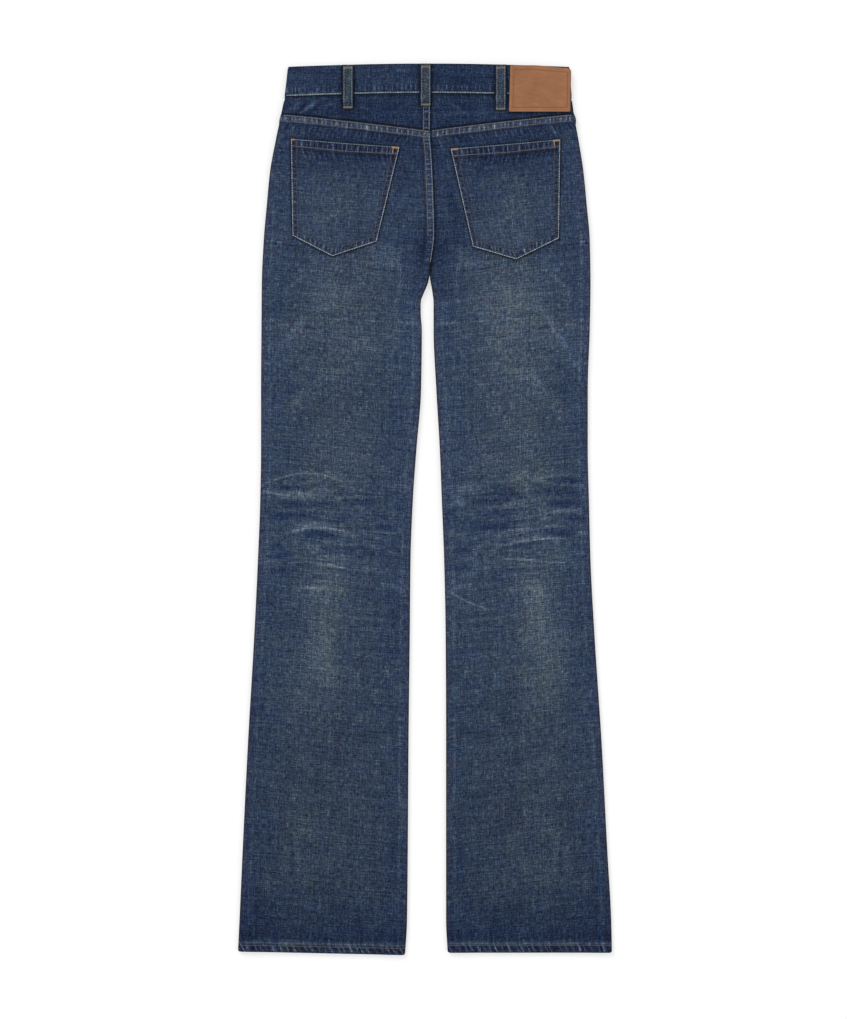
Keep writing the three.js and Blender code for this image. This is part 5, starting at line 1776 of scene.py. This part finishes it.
class JeansBuildBeltLoops(bpy.types.Operator):
    """Belt loops over the back and front of the waistband"""

    bl_idname = "jeans.build_belt_loops"
    bl_label = "Belt Loops"

    def execute(self, context):
        for name, (x, length) in BACK_LOOPS.items():
            crown = float(overlap_crown(max(0.0, abs(x) - LOOP_WIDTH / 2)))
            on_band = WAISTBAND_TOP + crown + SEAM_GAP + LOOP_CLOTH
            on_yoke = on_band - WAISTBAND_STEP + (FELL_RAISE if abs(x) < LOOP_WIDTH else 0)
            top = float(waist_top(x)) - SEAM_GAP
            profile = loop_profile(top, length, on_band, on_band + LOOP_BRIDGE, on_yoke)
            points, layers = loop_grid(x, profile, 1)
            piece = cloth_mesh(f"{name}_cloth", points, LOOP_CLOTH, layers, "Leg denim")
            take_place(piece, name)
        for name, (x, length) in FRONT_LOOPS.items():
            top = float(front_waist_top(x)) - SEAM_GAP
            points, layers = loop_grid(x, loop_profile(top, length, 1.2, 0.3, 1.1), -1)
            piece = cloth_mesh(f"{name}_cloth", points, 1.0, layers, "Leg denim", facing=-1)
            take_place(piece, name)
        return {"FINISHED"}


class JeansBuildPatch(bpy.types.Operator):
    """Bare leather patch on the right of the waistband"""

    bl_idname = "jeans.build_patch"
    bl_label = "Leather Patch"

    def execute(self, context):
        points, normal, layers = patch_grid()
        thickness = PATCH["thickness"]
        piece = cloth_mesh("leather_patch_skin", points, thickness, layers, "Patch leather", normal)
        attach(piece, "root")
        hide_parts("leather_patch")
        return {"FINISHED"}


class JeansBuildButton(bpy.types.Operator):
    """Plain domed waist button under the front of the waistband"""

    bl_idname = "jeans.build_button"
    bl_label = "Waist Button"

    def execute(self, context):
        low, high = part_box("waist_button")
        centre = (low + high) / 2
        radius = (high.x - low.x) / 2
        place = (centre.x, centre.y, low.z + 0.75 * MM)
        bpy.ops.object.select_all(action="DESELECT")
        bpy.ops.mesh.primitive_cylinder_add(vertices=48, radius=radius, depth=1.3 * MM, location=place)
        button = bpy.context.active_object
        bpy.ops.object.transform_apply(location=True, rotation=True, scale=True)
        select_faces(button, lambda face: face.normal.z < -0.9)
        bpy.ops.mesh.inset(thickness=1.6 * MM, depth=0)
        bpy.ops.mesh.inset(thickness=0.5 * MM, depth=-0.25 * MM)
        bpy.ops.mesh.inset(thickness=2.2 * MM, depth=0.2 * MM)
        select_faces(button, lambda face: face.normal.z > 0.9)
        bpy.ops.mesh.inset(thickness=radius - 4 * MM, depth=0)
        shank = (0, 0, high.z - low.z - 1.4 * MM)
        bpy.ops.mesh.extrude_region_move(TRANSFORM_OT_translate={"value": shank})
        bpy.ops.object.mode_set(mode="OBJECT")
        rounded = button.modifiers.new("Rounded rim", "BEVEL")
        rounded.width = 0.3 * MM
        rounded.segments = 2
        rounded.limit_method = "ANGLE"
        select_only(button)
        bpy.ops.object.modifier_apply(modifier=rounded.name)
        button.name = "waist_button_cap"
        button.data.materials.clear()
        button.data.materials.append(materials()["Button metal"])
        smooth(button)
        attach(button, "root")
        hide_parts("waist_button")
        return {"FINISHED"}


class JeansSewSeams(bpy.types.Operator):
    """Rows of stitches along the waistband, yoke, seat and hems"""

    bl_idname = "jeans.sew_seams"
    bl_label = "Seam Stitches"

    def execute(self, context):
        pitch, length, width = thread_size()
        gaps = [(-181, -110), (-94, -10.5), (5, 85), (101.5, 104)]
        rows = [across_back(low, high, lambda x: waist_seam(x) + 1.3) for low, high in gaps]
        sew("waistband_edge_stitches", ["waistband_cloth"], rows, "Band thread",
            (pitch * 0.97, width * 1.9, 0.6), pitch, seed=2)

        cloth = ["back_cloth_left", "back_cloth_right"]
        ends = [(-184.5, 1.5), (5.5, 184)]
        for name, down, wide in (("upper", 1.9, 1.25), ("lower", 9.0, 0.8)):
            rows = [across_back(low, high, lambda x: yoke_line(x) - down) for low, high in ends]
            sew(f"yoke_{name}_stitches", cloth, rows, "Brown thread",
                (length, width * wide, 0.5), pitch, seed=3)

        lower = np.linspace(884, 1049, 60)
        upper = np.linspace(1053, float(waist_seam(0)) - 14, 14)
        cloth = ["back_cloth_left", "yoke_cloth_left"]
        rows = [seat_row(y, 1.7) for y in (lower, upper)]
        sew("seat_edge_stitches", cloth, rows, "Pale thread",
            (length, width * 0.8, 0.4), pitch, seed=4)
        rows = [seat_row(y, 8.8) for y in (lower[12:], upper)]
        sew("seat_inner_stitches", cloth, rows, "Brown thread",
            (length, width, 0.5), pitch, seed=5)

        for side in OUTWARD:
            low, high = sorted(float(column(table, side, HEM_DEPTH)) for table in (SIDES, INSEAMS))
            x = np.linspace(low + 1.6, high - 1.6, 50)
            rows = [line_of(x, row_height(side, np.full(50, HEM_ROWS[side]), x))]
            sew(f"hem_stitches_{side}", [f"back_cloth_{side}"], rows, "Dull thread",
                (pitch * 0.97, width * 1.15, 0.55), pitch, seed=6)
            sew(f"hem_stitches_{side}_under", [f"front_cloth_{side}"], rows, "Dull thread",
                (length, width, 0.35), pitch * 1.2, side=-1, seed=7)
        return {"FINISHED"}


def pocket_line(side, from_edge, from_top, from_foot):
    """The U of a pocket's stitching: down its left, round its foot and up its right."""
    width, height = POCKET_SPAN
    tip = pocket_tip(side)
    left, right = from_edge / width, 1 - from_edge / width
    top, foot = from_top / height, 1 - from_foot / height
    to_tip, from_tip = np.linspace(left, tip, 20), np.linspace(tip, right, 20)[1:]
    u = np.concatenate([np.full(20, left), to_tip, from_tip, np.full(20, right)])
    v = np.concatenate([np.linspace(top, foot, 20), np.full(39, foot), np.linspace(foot, top, 20)])
    return pocket_point(side, u, v)


def pocket_tacks(side):
    """Bar tacks at both upper corners of a back pocket, a short one at the far left."""
    left, right = [np.array(BACK_POCKETS[side][key]) for key in ("top_left", "top_right")]
    tacks = []
    for corner, start, end in (("left", left, right), ("right", right, left)):
        along = (end - start) / np.linalg.norm(end - start)
        down = np.array([along[1], -along[0]])
        if down[1] > 0:
            down = -down
        if side == corner == "left":
            tacks += bar_tack(start + along * 3.6 + down * 1.9, along, 4.4, 2.0)
            continue
        tacks += bar_tack(start + along * 5.6 + down * 1.9, along, 8.5, 2.2)
        if corner == "right":
            tacks += bar_tack(start + along * 8.9 + down * 6.0, down, 6.0, 1.4)
    return tacks


class JeansSewPockets(bpy.types.Operator):
    """Rows of stitches and bar tacks on the back pockets"""

    bl_idname = "jeans.sew_pockets"
    bl_label = "Pocket Stitches"

    def execute(self, context):
        pitch, length, width = thread_size()
        for side in OUTWARD:
            cloth = [f"pocket_cloth_{side}"]
            sew(f"pocket_edge_stitches_{side}", cloth, [pocket_line(side, 1.3, 1.5, 1.3)],
                "Pale thread", (length * 1.06, width * 1.3, 0.55), pitch, seed=11)
            sew(f"pocket_inner_stitches_{side}", cloth, [pocket_line(side, 8.4, 2.5, 9.2)],
                "Dull thread", (length, width * 0.8, 0.45), pitch, seed=12)
            for name, down, thread in (("upper", 1.5, "Band thread"), ("lower", 9.6, "Copper thread")):
                end = 2.2 / POCKET_SPAN[0]
                v = np.full(50, down / POCKET_SPAN[1])
                row = pocket_point(side, np.linspace(end, 1 - end, 50), v)
                sew(f"pocket_hem_{name}_stitches_{side}", cloth, [row], thread,
                    (length, width * 0.95, 0.5), pitch, seed=13)
            sew(f"pocket_tacks_{side}", cloth, pocket_tacks(side), "Gold thread",
                (2.0, 0.5, 0.55), 2.0, seed=14)
        return {"FINISHED"}


class JeansSewLoops(bpy.types.Operator):
    """Rows of stitches and bar tacks on the belt loops"""

    bl_idname = "jeans.sew_loops"
    bl_label = "Loop Stitches"

    def execute(self, context):
        pitch, _, _ = thread_size()
        for table, top_of, side in ((BACK_LOOPS, waist_top, 1), (FRONT_LOOPS, front_waist_top, -1)):
            height = 0.45 if side > 0 else 0.3
            for name, (x, length) in table.items():
                top = float(top_of(x)) - SEAM_GAP
                rows = [[(x + aside, top - 1.5), (x + aside, top - length + 1.5)] for aside in (-5.0, 5.0)]
                sew(f"{name}_stitches", [f"{name}_cloth"], rows, "Pale thread",
                    (pitch * 0.8, 0.55, height), pitch, side=side, seed=15)
                tacks = bar_tack((x, top - 4.2), (1, 0), 11.0, 2.2)
                tacks += bar_tack((x, top - length + 2.4), (1, 0), 11.0, 2.2)
                sew(f"{name}_tacks", [f"{name}_cloth"], tacks, "Beige thread",
                    (2.3, 0.5, height), 2.3, side=side, seed=16)
        return {"FINISHED"}


class JeansSewPatch(bpy.types.Operator):
    """Tone-on-tone stitches round the leather patch"""

    bl_idname = "jeans.sew_patch"
    bl_label = "Patch Stitches"

    def execute(self, context):
        sewn = PATCH_STITCHES
        left, right = PATCH["left"] + sewn["left"], PATCH["right"] - sewn["right"]
        bottom = PATCH["bottom"] + sewn["bottom"]
        x = np.linspace(left + PATCH_LEAN * 0.9, right, 30)
        top = line_of(x, patch_top(x) - sewn["top"])
        low_left, low_right = (left, bottom), (right, bottom)
        lines = [top, [top[-1], low_right], [low_right, low_left], [low_left, top[0]]]
        sew("patch_stitches", ["leather_patch_skin"], lines, "Patch thread",
            (1.3, 1.0, 0.3), 3.2, seed=17)
        return {"FINISHED"}


def mouth_row(side, out):
    """A row round a front pocket's mouth, so far outside its edge."""
    angles = np.radians(np.linspace(86, 6, 40))
    inset = (scoop_width(side) + out) * np.cos(angles)
    waist_x = abs(waist_end(side)) - inset
    y = front_waist_seam(waist_x) - (SCOOP_DEPTH + out) * np.sin(angles)
    return line_of(waist_end(side) - OUTWARD[side] * inset, y)


def fly_row(out):
    """A row of the fly's J, so far from the centre front."""
    turn = np.radians(np.linspace(0, 82, 16))
    bend = FLY_BEND + (out - FLY_WIDTH)
    x = -out + 1.5
    down = np.linspace(float(front_waist_seam(out)) - 2, FLY_FOOT, 30)
    straight = line_of(np.full(30, x), down)
    curve = line_of(x + bend * (1 - np.cos(turn)), FLY_FOOT - bend * 1.3 * np.sin(turn))
    return np.concatenate([straight, curve[1:]])


class JeansSewFront(bpy.types.Operator):
    """Fly, pocket mouth and centre seam stitches of the front"""

    bl_idname = "jeans.sew_front"
    bl_label = "Front Stitches"

    def execute(self, context):
        pitch, _, width = thread_size()
        flat = (pitch * 0.85, width, 0.3)
        for side in OUTWARD:
            rows = [mouth_row(side, out) for out in (1.8, 8.0)]
            sew(f"pocket_mouth_stitches_{side}", [f"front_cloth_{side}"], rows, "Brown thread",
                flat, pitch, side=-1, seed=18)
        fly = [fly_row(out) for out in (FLY_WIDTH + 6.5, FLY_WIDTH)]
        centre = [[(-3.0 - out, 912), (-3.0 - out, 872)] for out in (0, 6.5)]
        sew("fly_stitches", ["front_cloth_left"], fly + centre, "Brown thread",
            flat, pitch, side=-1, seed=19)
        return {"FINISHED"}


# Straight above, as far off as fills the picture like the photo
CAMERA_PLACE = (-1.9 * MM, 0.0, 3.084)


def soft_sun(name, place, strength, spread):
    """Even soft light that comes from the direction of a place."""
    bpy.ops.object.light_add(type="SUN", location=place)
    light = bpy.context.active_object
    light.name = name
    light.data.energy = strength
    light.data.angle = math.radians(spread)
    light.rotation_euler = Vector(place).to_track_quat("Z", "Y").to_euler()


class JeansBuildStage(bpy.types.Operator):
    """Pale floor, soft light and the camera straight above"""

    bl_idname = "jeans.build_stage"
    bl_label = "Floor, Lights and Camera"

    def execute(self, context):
        sizes = context.scene.jeans_sizes
        bpy.ops.object.select_all(action="DESELECT")
        bpy.ops.mesh.primitive_plane_add(size=sizes.floor_size, location=(0, 0, -0.2 * MM))
        floor = bpy.context.active_object
        floor.name = "floor"
        bpy.ops.object.transform_apply(location=True, rotation=True, scale=True)
        wires, shader = new_material("Floor")
        wires.feed(shader, {
            "Base Color": opaque(sizes.floor_colour),
            "Roughness": 0.9,
            "Emission Color": (1, 1, 1, 1),
            "Emission Strength": sizes.floor_glow,
        })
        floor.data.materials.append(bpy.data.materials["Floor"])
        world = bpy.data.worlds.new("Studio")
        world.use_nodes = True
        sky = world.node_tree.nodes["Background"].inputs
        sky["Color"].default_value = (1, 1, 1, 1)
        sky["Strength"].default_value = sizes.sky_strength
        context.scene.world = world
        soft_sun("upper_left_light", (-1.6, 2.2, 1.9), 1.2, 24)
        soft_sun("right_light", (2.2, -0.6, 2.0), 0.4, 40)
        bpy.ops.object.camera_add(location=CAMERA_PLACE)
        camera = bpy.context.active_object
        camera.name = "camera"
        camera.rotation_euler = (0, 0, 0)
        camera.data.lens = 85
        camera.data.sensor_width = 36
        context.scene.camera = camera
        context.scene.view_settings.view_transform = "Standard"
        context.scene.view_settings.look = "None"
        return {"FINISHED"}


BUILD_ORDER = [
    JeansBuildBackPanels, JeansBuildYokes, JeansBuildFrontPanels, JeansBuildBackPockets,
    JeansBuildWaistband, JeansBuildBeltLoops, JeansBuildPatch, JeansBuildButton,
    JeansSewSeams, JeansSewPockets, JeansSewLoops, JeansSewPatch, JeansSewFront, JeansBuildStage,
]


class JeansPanel(bpy.types.Panel):
    """Lists the steps that build the jeans"""

    bl_idname = "VIEW3D_PT_jeans"
    bl_label = "Flared Jeans"
    bl_space_type = "VIEW_3D"
    bl_region_type = "UI"
    bl_category = "Jeans"

    def draw(self, context):
        for group in (context.scene.jeans_look, context.scene.jeans_sizes):
            box = self.layout.box()
            for key in group.__annotations__:
                box.prop(group, key)
        for operator in BUILD_ORDER:
            self.layout.operator(operator.bl_idname)


CLASSES = [JeansLook, JeansSizes, *BUILD_ORDER, JeansPanel]


def register():
    for kind in CLASSES:
        bpy.utils.register_class(kind)
    bpy.types.Scene.jeans_look = bpy.props.PointerProperty(type=JeansLook)
    bpy.types.Scene.jeans_sizes = bpy.props.PointerProperty(type=JeansSizes)


def unregister():
    del bpy.types.Scene.jeans_sizes
    del bpy.types.Scene.jeans_look
    for kind in reversed(CLASSES):
        bpy.utils.unregister_class(kind)


def main():
    register()
    for operator in BUILD_ORDER:
        group, name = operator.bl_idname.split(".")
        getattr(getattr(bpy.ops, group), name)()


if __name__ == "__main__":
    main()
